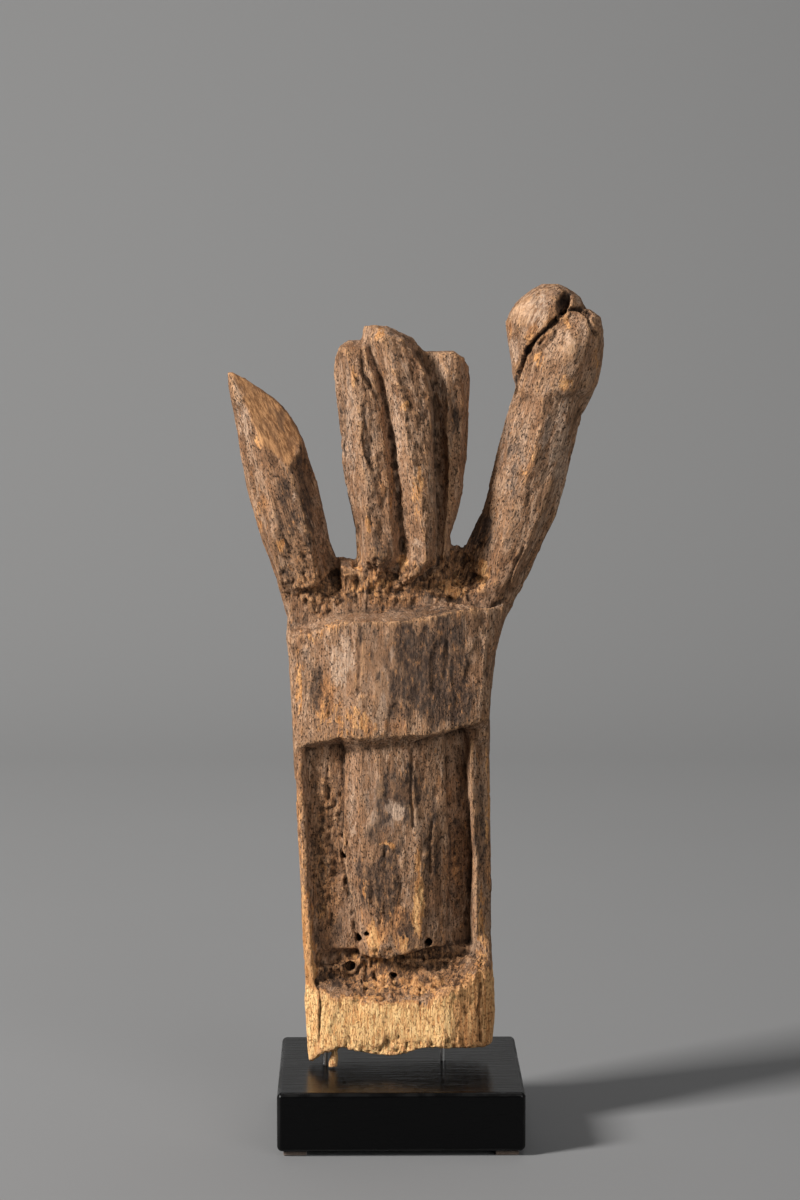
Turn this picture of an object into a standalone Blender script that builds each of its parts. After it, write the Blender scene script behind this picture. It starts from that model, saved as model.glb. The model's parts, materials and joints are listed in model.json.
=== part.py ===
"""Carved wooden ritual figure, held by two steel pins on a black lacquered plinth.

Frame: metres, +Z up, +X to the right as one faces the carved front, which looks along -Y.
The origin is the bottom centre of the whole object's bounding box.
Sizes are in millimetres, and heights count from the plinth's top, where the pins leave it.
The figure is free-form: its tables draw it from its foot up, and it is scaled as one to FIGURE_HEIGHT.
"""

import math

import bmesh
import bpy
from mathutils import Matrix, Vector

MM = 0.001
GAP = 0.3

# Plinth and the felt pads under it
PLINTH_WIDTH = 93.0
PLINTH_DEPTH = 87.0
PLINTH_HEIGHT = 22.5
PLINTH_EDGE_ROUND = 2.6
PLINTH_EDGE_STEPS = 4
PAD_SIDE = 9.0
PAD_THICKNESS = 2.0
PAD_CORNER_ROUND = 1.4
PAD_CORNER_STEPS = 3
PAD_INSET = 2.2

# Pins, each in a blind hole in the plinth and in the figure
PIN_RADIUS = 0.95
PIN_SIDES = 12
PIN_HOLE_DEPTH = 14.5
PIN_TOP = 25.0

# Figure: its height, and where the pins enter it as drawn, as (x, y)
FIGURE_HEIGHT = 300.0
PIN_PLACES = {"left": (-28.9, -1.5), "right": (16.8, 5.1)}

# Outline of the body seen from the front, as (height, x)
LEFT_EDGE = (
    (2.0, -34.4), (8.0, -35.6), (24.0, -36.7), (64.0, -37.8), (83.0, -38.8), (102.5, -39.5),
    (118.0, -40.3), (134.0, -41.0), (149.0, -41.6), (165.0, -42.4), (175.0, -43.4), (185.0, -42.0),
    (200.0, -38.0),
)
RIGHT_EDGE = (
    (2.0, 34.3), (6.0, 36.1), (16.0, 37.0), (32.0, 36.3), (44.0, 35.7), (63.0, 35.3), (102.0, 34.9),
    (129.5, 34.7), (141.0, 35.3), (151.0, 36.2), (162.0, 38.2), (172.0, 41.2), (182.0, 41.0),
    (200.0, 37.0),
)

# Lines that cross the front, as (x, height): each is where one worked area stops
BOTTOM_FRONT = (
    (-37.0, 2.6), (-33.6, 2.2), (-31.0, 7.0), (-27.5, 9.0), (-20.0, 8.2), (-12.0, 7.2), (-6.0, 5.6),
    (2.0, 6.9), (10.0, 9.2), (20.0, 9.6), (30.0, 9.0), (37.0, 9.4),
)
BOTTOM_BACK = ((-37.0, 4.0), (-18.0, 5.2), (0.0, 6.0), (14.0, 5.4), (22.0, 3.4), (37.0, 3.2))
LEDGE_EDGE = (
    (-38.0, 33.0), (-31.4, 31.1), (-23.8, 28.2), (-11.6, 27.2), (0.0, 27.1), (11.4, 27.6), (17.1, 31.3),
    (22.9, 34.5), (29.8, 38.3), (33.0, 36.0), (37.0, 36.6),
)
LEDGE_INNER = (
    (-38.0, 36.0), (-32.0, 33.0), (-25.0, 35.0), (-18.5, 37.0), (-10.7, 34.5), (0.0, 38.5), (9.0, 42.5),
    (15.5, 44.0), (30.9, 45.5), (37.0, 46.0),
)
POST_FOOT = (
    (-38.0, 41.0), (-24.0, 40.0), (-15.0, 44.6), (-7.7, 43.6), (-2.0, 44.0), (3.8, 46.7), (15.3, 48.2),
    (24.0, 47.0), (37.0, 48.0),
)
BAND_INNER = ((-40.0, 121.4), (-15.2, 124.0), (0.0, 126.3), (15.2, 129.0), (37.0, 132.6))
BAND_LOWER = (
    (-41.0, 125.2), (-36.0, 126.4), (-22.8, 129.4), (-7.7, 130.2), (7.4, 130.4), (16.9, 131.5),
    (37.0, 137.4),
)
BAND_UPPER = (
    (-43.0, 165.4), (-30.3, 170.4), (-22.7, 173.2), (-17.0, 174.2), (0.0, 173.7), (15.0, 176.4),
    (26.3, 178.2), (32.0, 178.6), (42.0, 177.2),
)
BAND_TOP = (
    (-44.0, 170.4), (-26.5, 175.4), (-15.2, 176.6), (0.0, 177.3), (15.1, 180.0), (26.5, 182.0),
    (42.4, 178.8),
)
NECK_TOP = (
    (-45.0, 190.0), (-30.0, 196.0), (-22.0, 197.5), (-17.0, 196.0), (-8.0, 192.0), (2.0, 189.0),
    (12.0, 192.0), (19.0, 200.5), (23.0, 203.0), (26.0, 199.0), (45.0, 188.0),
)

# Depth of each worked area along x: front surfaces are at negative y
LEDGE_FACE = (
    (-38.0, -4.0), (-32.6, -7.0), (-31.4, -9.4), (17.0, -14.6), (30.0, -10.6), (33.0, -8.6),
    (37.0, -5.0),
)
BAND_FACE = (
    (-42.5, -5.0), (-38.5, -8.4), (-16.0, -16.0), (8.0, -14.8), (31.8, -10.8), (36.0, -5.4),
    (42.0, -4.0),
)
NOTCH_FACE = (
    (-38.0, -4.0), (-33.2, -7.0), (-30.6, -2.4), (-15.0, -1.2), (0.0, -2.6), (15.0, -3.6), (24.0, -1.4),
    (27.0, -1.8), (31.4, -5.4), (37.0, -4.6),
)
NECK_FACE = (
    (-44.0, -2.0), (-24.0, -4.6), (-12.0, -4.0), (2.0, -3.0), (18.0, -3.4), (28.0, -4.6), (42.0, -3.0),
)
NECK_TOP_FACE = ((-44.0, 2.0), (-20.0, 1.6), (2.0, 3.0), (23.0, 2.0), (42.0, 3.0))
SIDE_DEPTH = 3.0
SIDE_INSET = 1.2

# Plain back: its depth by height, how far it falls off towards the sides, and how thick the neck's top is
BACK_LINE = ((0.0, 19.5), (40.0, 21.0), (140.0, 22.0), (178.0, 21.0), (200.0, 19.0))
BACK_FALL_OFF = 9.0
NECK_BACK = (
    (-40.0, 182.0), (-30.0, 190.0), (-22.0, 195.0), (-12.0, 190.0), (2.0, 187.0), (14.0, 191.0),
    (22.0, 199.0), (30.0, 192.0), (40.0, 182.0),
)
NECK_TOP_BACK = 14.5
BODY_TRACKS = 21

# Panel below the band: rims, grooves and the tapered post, as (height, x) and depths
RIM_INNER = ((32.0, -32.8), (46.0, -33.8), (66.0, -34.8), (104.0, -36.2), (122.0, -36.9))
POST_LEFT = ((36.0, -15.0), (54.0, -15.4), (64.0, -17.2), (71.5, -19.1), (85.0, -21.8), (122.0, -21.2))
POST_LEFT_CREASE = ((36.0, -10.4), (53.0, -10.8), (66.5, -12.3), (86.0, -14.5), (122.0, -15.3))
POST_RIGHT_CREASE = ((36.0, 7.6), (66.0, 7.6), (90.0, 6.8), (105.0, 5.2), (122.0, 3.0))
POST_RIGHT = ((36.0, 16.6), (48.0, 17.6), (66.0, 18.7), (89.0, 18.7), (104.0, 17.9), (122.0, 16.7))
GROOVE_RIGHT = ((36.0, 26.9), (81.0, 26.8), (104.0, 25.2), (130.0, 24.0))
RIM_DEPTH = -7.0
RIM_ROUND_DEPTH = -4.8
LEFT_GROOVE_DEPTHS = (-2.6, 0.2, 1.6)
POST_LEFT_DEPTH = -6.0
POST_FACE_DEPTHS = (-10.6, -11.1, -11.2, -10.9)
POST_RIGHT_DEPTHS = (-8.6, -5.6)
RIGHT_GROOVE_DEPTHS = (-0.8, 1.0, 1.8)
RIGHT_RIM_DEPTHS = (-3.4, -5.4, -4.6)
EDGE_ROUND = (0.5, 1.7)
RIGHT_EDGE_ROUND = 1.2
GROOVE_SLOPES = (1.2, 0.9, 1.0, 1.6)

# Rows of rings between two of the lines above, as shares of the way up
FOOT_ROWS = (0.35, 0.7, 1.0)
NOTCH_ROWS = (0.0, 0.75)
PANEL_ROWS = (0.0, 0.12, 0.3, 0.5, 0.7, 0.88, 1.0)
BAND_ROWS = (0.0, 0.25, 0.5, 0.75, 1.0)
NECK_ROWS = (0.0, 0.4, 0.8)
LEVEL_AT = (-25.0, 0.0, 25.0)

# Limbs: rings from the root up, as (height, left x, right x, front y, back y)
LEFT_LIMB = (
    (166.0, -40.0, -22.0, 0.0, 17.0), (176.0, -43.8, -22.0, -4.0, 19.5),
    (188.0, -46.8, -22.5, -6.6, 20.0), (196.0, -49.5, -24.0, -8.0, 19.6),
    (203.0, -52.4, -26.6, -9.0, 18.6), (211.0, -54.7, -28.4, -9.4, 17.2),
    (219.0, -57.0, -30.2, -9.8, 16.0), (227.0, -58.8, -31.9, -10.0, 15.0),
    (234.0, -60.3, -34.2, -10.0, 14.0), (241.5, -61.5, -36.4, -9.6, 13.0),
    (246.0, -62.2, -38.8, -9.2, 12.0), (252.0, -63.2, -42.6, -8.4, 10.6),
    (257.0, -64.1, -47.6, -7.2, 9.0), (261.0, -64.7, -52.8, -5.6, 7.2),
    (264.5, -65.2, -58.0, -3.8, 5.4), (267.0, -65.4, -62.6, -1.6, 2.8),
)
RIGHT_LIMB = (
    (160.0, 18.0, 35.0, 0.0, 17.0), (170.0, 18.0, 39.6, -2.6, 18.6), (177.0, 18.6, 43.4, -4.4, 20.0),
    (184.0, 20.0, 46.8, -5.6, 20.0), (192.0, 22.0, 50.9, -7.2, 19.4), (200.5, 24.6, 54.3, -8.4, 18.0),
    (212.5, 29.9, 59.8, -9.6, 15.5), (222.0, 33.2, 62.3, -10.2, 14.5), (231.5, 35.2, 64.9, -10.8, 13.6),
    (241.0, 37.5, 67.3, -11.2, 13.0), (250.5, 40.2, 69.2, -11.8, 12.6),
    (257.0, 42.6, 72.6, -12.8, 12.4), (263.5, 44.4, 75.2, -13.8, 12.2),
    (270.0, 46.8, 76.6, -14.6, 11.8), (277.0, 51.4, 77.2, -14.6, 11.2), (283.0, 57.0, 76.8, -13.4, 9.6),
    (287.5, 61.8, 75.6, -11.0, 6.6), (290.5, 66.0, 71.6, -7.0, 2.0),
)
KNOB = (
    (259.0, 45.0, 50.0, 0.0, 8.0), (263.0, 43.6, 55.0, -4.6, 12.0), (268.5, 42.6, 60.0, -7.6, 15.0),
    (275.0, 41.8, 64.0, -9.6, 17.2), (281.0, 40.4, 67.2, -10.8, 18.2), (286.5, 40.0, 69.8, -11.0, 18.4),
    (291.0, 42.0, 70.4, -10.4, 17.4), (295.0, 45.6, 68.2, -8.6, 15.0), (298.0, 49.8, 64.0, -5.8, 11.6),
    (300.0, 54.0, 59.6, -1.6, 7.0),
)

# The knob's last ring is the top of the drawn figure
DRAWN_HEIGHT = KNOB[-1][0]
FIGURE_SCALE = FIGURE_HEIGHT / DRAWN_HEIGHT

# Cluster of three ridges: rings from the root up, as (height, left x, crease x, right x, front y, back y)
CLUSTER_LEFT = (
    (178.0, -15.4, -8.0, -2.0, -3.0, 19.0), (192.0, -16.4, -8.4, -1.0, -6.4, 19.4),
    (200.0, -16.4, -9.6, 0.6, -8.2, 18.4), (206.0, -16.8, -10.6, 1.0, -10.2, 17.2),
    (219.8, -19.6, -13.2, -0.9, -11.0, 15.8), (231.3, -21.5, -14.2, -2.2, -11.2, 15.4),
    (244.6, -22.7, -15.2, -4.1, -11.0, 14.8), (258.0, -23.8, -17.0, -6.7, -10.4, 14.0),
    (265.6, -24.9, -18.6, -7.9, -9.6, 13.0), (271.3, -24.6, -19.8, -9.8, -8.2, 11.4),
    (276.3, -22.8, -19.6, -10.9, -5.4, 8.8), (278.8, -19.4, -17.4, -12.6, -1.8, 5.4),
)
CLUSTER_MIDDLE = (
    (186.6, -1.8, 1.4, 3.2, -6.4, 18.0), (190.0, -2.2, 3.4, 7.4, -9.8, 19.6),
    (195.5, 0.4, 6.8, 11.6, -12.6, 19.8), (201.0, 2.0, 8.2, 13.2, -14.2, 19.2),
    (210.3, 0.8, 8.8, 13.4, -15.0, 17.8), (223.7, -0.7, 7.3, 13.0, -15.4, 16.2),
    (233.2, -2.2, 4.2, 12.6, -15.6, 14.8), (240.8, -3.3, 2.6, 12.6, -15.6, 14.6),
    (252.3, -5.6, 1.2, 11.4, -15.4, 14.0), (259.9, -7.1, -0.7, 10.3, -15.0, 13.4),
    (269.4, -9.2, -3.6, 8.0, -14.2, 12.4), (275.2, -10.8, -5.6, 5.4, -13.2, 11.0),
    (279.7, -11.3, -7.4, 1.6, -11.6, 8.8), (282.8, -10.9, -8.2, -4.6, -9.4, 5.0),
    (284.7, -10.2, -9.4, -8.2, -6.4, 0.0),
)
CLUSTER_RIGHT = (
    (182.0, 13.0, 15.0, 22.0, 0.0, 18.4), (197.0, 13.4, 15.4, 20.4, -2.4, 18.6),
    (204.6, 13.7, 15.8, 19.6, -3.4, 17.4), (210.5, 14.1, 16.4, 21.4, -4.2, 15.6),
    (217.9, 14.5, 17.2, 23.6, -5.0, 15.6), (229.4, 15.0, 18.2, 25.1, -5.8, 15.4),
    (240.8, 15.2, 18.4, 25.9, -6.4, 15.0), (256.1, 14.0, 17.6, 26.6, -6.8, 14.0),
    (264.0, 12.4, 17.8, 27.0, -6.8, 13.0), (269.0, 11.0, 17.4, 26.4, -6.0, 11.6),
    (272.2, 10.2, 16.8, 24.4, -4.4, 9.4), (274.6, 12.4, 16.2, 20.2, -1.4, 6.0),
)
RIDGES = {"cluster_left": CLUSTER_LEFT, "cluster_middle": CLUSTER_MIDDLE, "cluster_right": CLUSTER_RIGHT}
RIDGE_TUCKS = {"cluster_left": (0.0, 5.0), "cluster_middle": (3.0, 3.0), "cluster_right": (5.0, 0.0)}

# Cross-sections, as shares of a ring's half width and half depth: facets that the knife left
POLE_SECTION = (
    (-1.0, -0.05), (-0.9, -0.5), (-0.52, -0.86), (-0.1, -1.0), (0.36, -0.95), (0.74, -0.66),
    (0.96, -0.22), (1.0, 0.24), (0.84, 0.66), (0.46, 0.94), (-0.04, 1.0), (-0.52, 0.88), (-0.86, 0.5),
    (-0.98, 0.24),
)
KNOB_SECTION = (
    (-1.0, 0.1), (-0.95, -0.36), (-0.72, -0.72), (-0.36, -0.93), (0.06, -1.0), (0.5, -0.9),
    (0.84, -0.6), (1.0, -0.14), (0.95, 0.36), (0.7, 0.74), (0.3, 0.96), (-0.16, 1.0), (-0.6, 0.84),
    (-0.9, 0.5),
)

# Front of a ridge: its left side up to the crease and its right side, as (share across, share of the depth)
RIDGE_LEFT_SIDE = ((0.0, 0.3), (0.05, 0.18), (0.5, 0.08))
RIDGE_RIGHT_SIDE = ((0.45, 0.035), (0.85, 0.09), (1.0, 0.2))
RIDGE_TUCK_DEPTHS = (0.4, 0.78)
RIDGE_BACK = ((0.72, 0.96), (0.3, 1.0))

# Knife cut that sharpens the left limb: three points on its plane, as (x, y, height)
TIP_CUT_POINTS = ((-64.8, -2.2, 267.5), (-42.0, -10.2, 231.5), (-37.0, -2.6, 243.5))

# Split between the knob and the bent end of the right limb, as (x, height, half width), from its foot up
SPLIT_LINE = (
    (42.0, 256.0, 0.3), (45.2, 264.0, 0.5), (48.4, 271.6, 0.8), (52.6, 278.4, 1.5), (57.6, 284.4, 0.9),
    (62.4, 288.6, 0.6), (68.0, 291.4, 0.5), (74.0, 292.6, 0.4),
)
SPLIT_FRONT = -19.0
SPLIT_BACK = -2.0

# Insect holes and the hollow in the knob, as (x, height, radius); all run straight in from the front
WORM_HOLES = (
    (-21.8, 82.2, 1.5), (-12.7, 52.6, 1.1), (10.8, 49.6, 1.5), (-2.3, 35.4, 1.6), (-19.2, 38.6, 2.0),
    (-15.6, 50.2, 1.3),
)
KNOB_HOLLOW = ((60.6, 290.2, 1.8), (61.4, 292.6, 2.2), (62.4, 294.8, 1.8))
HOLE_FRONT = -20.0
WORM_HOLE_END = 3.5
KNOB_HOLLOW_END = -4.0
HOLE_SIDES = 8

# Splinter that hangs down beside the left pin: rings as (height, x, y, radius)
SPLINTER = (
    (GAP, -26.0, -6.6, 2.3), (2.0, -25.6, -6.4, 2.0), (6.0, -25.0, -5.4, 1.3), (12.0, -24.6, -4.0, 1.6),
)
SPLINTER_SIDES = 8

SHARP_ANGLE_DEG = 18.0

# Materials: colour, roughness, metallic
LOOKS = {
    "weathered_wood": ((0.235, 0.125, 0.060), 0.85, 0.0),
    "black_lacquer": ((0.006, 0.006, 0.007), 0.22, 0.0),
    "steel": ((0.55, 0.54, 0.52), 0.30, 1.0),
    "felt": ((0.10, 0.065, 0.045), 0.95, 0.0),
}


def along(line, at):
    """The value at `at` on a line of (position, value) points, held level past its ends."""
    if at <= line[0][0]:
        return line[0][1]
    for (p0, v0), (p1, v1) in zip(line, line[1:]):
        if at <= p1:
            return v0 + (v1 - v0) * (at - p0) / (p1 - p0)
    return line[-1][1]


def mix(a, b, share):
    return a + (b - a) * share


def clear_scene():
    for obj in list(bpy.data.objects):
        bpy.data.objects.remove(obj, do_unlink=True)


def make_material(name):
    colour, roughness, metallic = LOOKS[name]
    material = bpy.data.materials.new(name)
    material.use_nodes = True
    shader = material.node_tree.nodes["Principled BSDF"]
    shader.inputs["Base Color"].default_value = (*colour, 1.0)
    shader.inputs["Roughness"].default_value = roughness
    shader.inputs["Metallic"].default_value = metallic
    material.diffuse_color = (*colour, 1.0)
    return material


def make_object(name, bm, material=None):
    """An object in metres from a bmesh whose coordinates are in millimetres."""
    bmesh.ops.scale(bm, vec=(MM, MM, MM), verts=bm.verts)
    bmesh.ops.recalc_face_normals(bm, faces=bm.faces)
    mesh = bpy.data.meshes.new(name)
    bm.to_mesh(mesh)
    bm.free()
    obj = bpy.data.objects.new(name, mesh)
    bpy.context.scene.collection.objects.link(obj)
    if material:
        mesh.materials.append(material)
    return obj


def close_with_fan(bm, loop):
    centre = bm.verts.new(sum((v.co for v in loop), Vector()) / len(loop))
    for a, b in zip(loop, loop[1:] + loop[:1]):
        bm.faces.new((a, b, centre))


def close_front_to_back(bm, loop):
    """Closes a ring whose first half is the front and whose second half is the back, run the other way."""
    front, back = loop[: len(loop) // 2], loop[: len(loop) // 2 - 1 : -1]
    for (f0, b0), (f1, b1) in zip(zip(front, back), zip(front[1:], back[1:])):
        bm.faces.new((f0, f1, b1, b0))


def loft(name, rings, close=close_with_fan):
    """A closed skin through rings of equal length, listed from one end to the other."""
    bm = bmesh.new()
    loops = [[bm.verts.new(p) for p in ring] for ring in rings]
    for low, high in zip(loops, loops[1:]):
        for a, b, c, d in zip(low, low[1:] + low[:1], high[1:] + high[:1], high):
            bm.faces.new((a, b, c, d))
    close(bm, loops[0])
    close(bm, loops[-1])
    bmesh.ops.triangulate(bm, faces=bm.faces)
    return make_object(name, bm)


def make_cylinder(name, middle, radius, length, sides, axis="Z", material=None):
    """A cylinder along Z or Y whose middle is at `middle`."""
    bm = bmesh.new()
    bmesh.ops.create_cone(bm, cap_ends=True, segments=sides, radius1=radius, radius2=radius, depth=length)
    if axis == "Y":
        bmesh.ops.rotate(bm, verts=bm.verts, cent=(0, 0, 0), matrix=Matrix.Rotation(math.pi / 2, 3, "X"))
    bmesh.ops.translate(bm, verts=bm.verts, vec=middle)
    return make_object(name, bm, material)


def boolean(target, other, operation):
    """Joins `other` to `target`, or cuts it out of it, and removes it."""
    modifier = target.modifiers.new(operation, "BOOLEAN")
    modifier.operation = operation
    modifier.object = other
    graph = bpy.context.evaluated_depsgraph_get()
    joined = bpy.data.meshes.new_from_object(target.evaluated_get(graph))
    target.modifiers.remove(modifier)
    before = target.data
    target.data = joined
    bpy.data.meshes.remove(before)
    bpy.data.objects.remove(other, do_unlink=True)


def track_places(height):
    """The x of each of the body's front tracks: rim, groove, post, groove and rim, from left to right."""
    left, right = along(LEFT_EDGE, height), along(RIGHT_EDGE, height)
    rim, post_left = along(RIM_INNER, height), along(POST_LEFT, height)
    crease_left, crease_right = along(POST_LEFT_CREASE, height), along(POST_RIGHT_CREASE, height)
    post_right, groove_right = along(POST_RIGHT, height), along(GROOVE_RIGHT, height)
    rim_slope, post_slope, right_slope, right_rim_slope = GROOVE_SLOPES
    left_rim = (left, *(left + step for step in EDGE_ROUND), rim)
    left_groove = (rim + rim_slope, mix(rim, post_left, 0.5), post_left - post_slope)
    post_face = [mix(crease_left, crease_right, share) for share in (0, 1 / 3, 2 / 3, 1)]
    post = (post_left, *post_face, mix(crease_right, post_right, 0.5), post_right)
    right_groove = (post_right + right_slope, mix(post_right, groove_right, 0.55), groove_right)
    right_rim = (groove_right + right_rim_slope, mix(groove_right, right, 0.6), right - RIGHT_EDGE_ROUND)
    return (*left_rim, *left_groove, *post, *right_groove, *right_rim, right)


def panel_depths():
    """The panel's depth at each track."""
    rim = (SIDE_DEPTH, RIM_ROUND_DEPTH, RIM_DEPTH, RIM_DEPTH)
    post = (POST_LEFT_DEPTH, *POST_FACE_DEPTHS, *POST_RIGHT_DEPTHS)
    return (*rim, *LEFT_GROOVE_DEPTHS, *post, *RIGHT_GROOVE_DEPTHS, *RIGHT_RIM_DEPTHS, SIDE_DEPTH)


def face_depths(face, places):
    """The depth of a worked area at each track, turned back to the side at the two outer ones."""
    return (SIDE_DEPTH, *(along(face, x) for x in places[1:-1]), SIDE_DEPTH)


def between(line_a, line_b, share):
    """The line that lies a share of the way from line_a to line_b."""
    stops = sorted({x for x, _ in line_a} | {x for x, _ in line_b})
    return tuple((x, mix(along(line_a, x), along(line_b, x), share)) for x in stops)


def level(line):
    """A line's mean height."""
    return sum(along(line, x) for x in LEVEL_AT) / len(LEVEL_AT)


def body_ring(front_line, face, back_line=None, back=None):
    """One ring: front tracks from left to right, then the plain back from right to left.

    The front's depths are read from the line `face`, or from the panel where there is none.
    """
    height = level(front_line)
    places = track_places(height)
    left, right = places[0], places[-1]
    depths = face_depths(face, places) if face else panel_depths()
    ring = [(x, depth, along(front_line, x)) for x, depth in zip(places, depths)]
    middle = back or along(BACK_LINE, height)
    for track in reversed(range(BODY_TRACKS)):
        share = track / (BODY_TRACKS - 1)
        x = mix(left + SIDE_INSET, right - SIDE_INSET, share)
        depth = middle - BACK_FALL_OFF * abs(2 * share - 1) ** 3
        ring.append((x, depth, along(back_line, x) if back_line else height))
    return ring


def make_body():
    """The slab-like body: ragged foot, ledge, notch, panel with its post, band and rough neck."""
    rings = [body_ring(BOTTOM_FRONT, LEDGE_FACE, back_line=BOTTOM_BACK)]
    rings += [body_ring(between(BOTTOM_FRONT, LEDGE_EDGE, share), LEDGE_FACE) for share in FOOT_ROWS]
    rings += [body_ring(between(LEDGE_INNER, POST_FOOT, share), NOTCH_FACE) for share in NOTCH_ROWS]
    rings += [body_ring(between(POST_FOOT, BAND_INNER, share), None) for share in PANEL_ROWS]
    rings += [body_ring(between(BAND_LOWER, BAND_UPPER, share), BAND_FACE) for share in BAND_ROWS]
    for share in NECK_ROWS:
        back_line = between(((0.0, level(BAND_TOP)),), NECK_BACK, share)
        rings.append(body_ring(between(BAND_TOP, NECK_TOP, share), NECK_FACE, back_line=back_line))
    rings.append(body_ring(NECK_TOP, NECK_TOP_FACE, back_line=NECK_BACK, back=NECK_TOP_BACK))
    return loft("body", rings, close=close_front_to_back)


def limb_ring(measures, section):
    """A level ring from a limb's measures and a cross-section in half widths and half depths."""
    height, left, right, front, back = measures
    middle_x, half_width = (left + right) / 2, (right - left) / 2
    middle_y, half_depth = (front + back) / 2, (back - front) / 2
    return [(middle_x + u * half_width, middle_y + v * half_depth, height) for u, v in section]


def ridge_ring(measures, tucks):
    """A level ring of a ridge with one crease, widened behind its front to reach under its neighbours."""
    height, left, crease, right, front, back = measures
    tuck_left, tuck_right = tucks
    points = [(mix(left, crease, across), mix(front, back, deep)) for across, deep in RIDGE_LEFT_SIDE]
    points.append((crease, front))
    points += [(mix(crease, right, across), mix(front, back, deep)) for across, deep in RIDGE_RIGHT_SIDE]
    points += [(right + tuck_right, mix(front, back, deep)) for deep in RIDGE_TUCK_DEPTHS]
    points += [(mix(left, right, across), mix(front, back, deep)) for across, deep in RIDGE_BACK]
    points += [(left - tuck_left, mix(front, back, deep)) for deep in reversed(RIDGE_TUCK_DEPTHS)]
    return [(x, y, height) for x, y in points]


def sharpen(limb):
    """Cuts the left limb's point with the plane of the fresh knife cut."""
    a, b, c = (Vector(p) * MM for p in TIP_CUT_POINTS)
    normal = (b - a).cross(c - a).normalized()
    if normal.y > 0:
        normal.negate()
    bm = bmesh.new()
    bm.from_mesh(limb.data)
    geometry = bm.verts[:] + bm.edges[:] + bm.faces[:]
    cut = bmesh.ops.bisect_plane(bm, geom=geometry, plane_co=a, plane_no=normal, clear_outer=True)
    rim = [edge for edge in cut["geom_cut"] if isinstance(edge, bmesh.types.BMEdge)]
    bmesh.ops.contextual_create(bm, geom=rim)
    bmesh.ops.triangulate(bm, faces=bm.faces)
    bmesh.ops.recalc_face_normals(bm, faces=bm.faces)
    bm.to_mesh(limb.data)
    bm.free()


def make_limbs():
    """The left and right limbs, the right one's knob, and the three ridges between them."""
    left = loft("left_limb", [limb_ring(measures, POLE_SECTION) for measures in LEFT_LIMB])
    sharpen(left)
    right = loft("right_limb", [limb_ring(measures, POLE_SECTION) for measures in RIGHT_LIMB])
    knob = loft("knob", [limb_ring(measures, KNOB_SECTION) for measures in KNOB])
    ridges = []
    for name, rows in RIDGES.items():
        ridges.append(loft(name, [ridge_ring(measures, RIDGE_TUCKS[name]) for measures in rows]))
    return [left, right, knob, *ridges]


def make_splinter():
    turns = [2 * math.pi * i / SPLINTER_SIDES for i in range(SPLINTER_SIDES)]
    rings = []
    for height, x, y, radius in SPLINTER:
        rings.append([(x + radius * math.cos(turn), y + radius * math.sin(turn), height) for turn in turns])
    return loft("splinter", rings)


def make_split_cutter():
    """A wedge along the split, open at the front and closing to an edge at its back."""
    rings = []
    for index, (x, height, half_width) in enumerate(SPLIT_LINE):
        x0, height0, _ = SPLIT_LINE[max(index - 1, 0)]
        x1, height1, _ = SPLIT_LINE[min(index + 1, len(SPLIT_LINE) - 1)]
        run = Vector((x1 - x0, 0, height1 - height0)).normalized()
        across = Vector((-run.z, 0, run.x)) * half_width
        front, back = Vector((x, SPLIT_FRONT, height)), Vector((x, SPLIT_BACK, height))
        rings.append([front + across, front - across, back])
    return loft("split", rings)


def make_hole_cutters():
    """Round cutters that run straight in from the front, for the insect holes and the knob's hollow."""
    cutters = []
    for holes, end in ((WORM_HOLES, WORM_HOLE_END), (KNOB_HOLLOW, KNOB_HOLLOW_END)):
        for x, height, radius in holes:
            middle = (x, mix(HOLE_FRONT, end, 0.5), height)
            cutters.append(make_cylinder("hole", middle, radius, end - HOLE_FRONT, HOLE_SIDES, axis="Y"))
    return cutters


def pin_places():
    """Where each pin stands: it keeps its place in the figure when the figure's height changes."""
    return {side: (x * FIGURE_SCALE, y * FIGURE_SCALE) for side, (x, y) in PIN_PLACES.items()}


def cut_pin_holes(target, low, high):
    """Bores a hole with clearance for each pin, from height low to height high."""
    for x, y in pin_places().values():
        bore = make_cylinder("bore", (x, y, (low + high) / 2), PIN_RADIUS + GAP, high - low, PIN_SIDES)
        boolean(target, bore, "DIFFERENCE")


def make_figure(material):
    """The carving, one piece of wood: body, limbs, splinter and the marks of age."""
    figure = make_body()
    figure.name = "carved_figure"
    for piece in [*make_limbs(), make_splinter()]:
        boolean(figure, piece, "UNION")
    for cutter in [make_split_cutter(), *make_hole_cutters()]:
        boolean(figure, cutter, "DIFFERENCE")
    figure.data.transform(Matrix.Scale(FIGURE_SCALE, 4))
    cut_pin_holes(figure, -GAP, PIN_TOP + GAP)
    figure.data.materials.clear()
    figure.data.materials.append(material)
    return figure


def round_edges(bm, edges, radius, steps):
    bmesh.ops.bevel(bm, geom=edges, offset=radius, segments=steps, profile=0.5, affect="EDGES")


def make_plinth(material):
    """The block with rounded edges, its top at height 0, and a blind hole for each pin."""
    bm = bmesh.new()
    bmesh.ops.create_cube(bm, size=1.0)
    bmesh.ops.scale(bm, vec=(PLINTH_WIDTH, PLINTH_DEPTH, PLINTH_HEIGHT), verts=bm.verts)
    bmesh.ops.translate(bm, vec=(0, 0, -PLINTH_HEIGHT / 2), verts=bm.verts)
    round_edges(bm, bm.edges[:], PLINTH_EDGE_ROUND, PLINTH_EDGE_STEPS)
    plinth = make_object("plinth", bm, material)
    cut_pin_holes(plinth, -PIN_HOLE_DEPTH, GAP)
    return plinth


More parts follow.
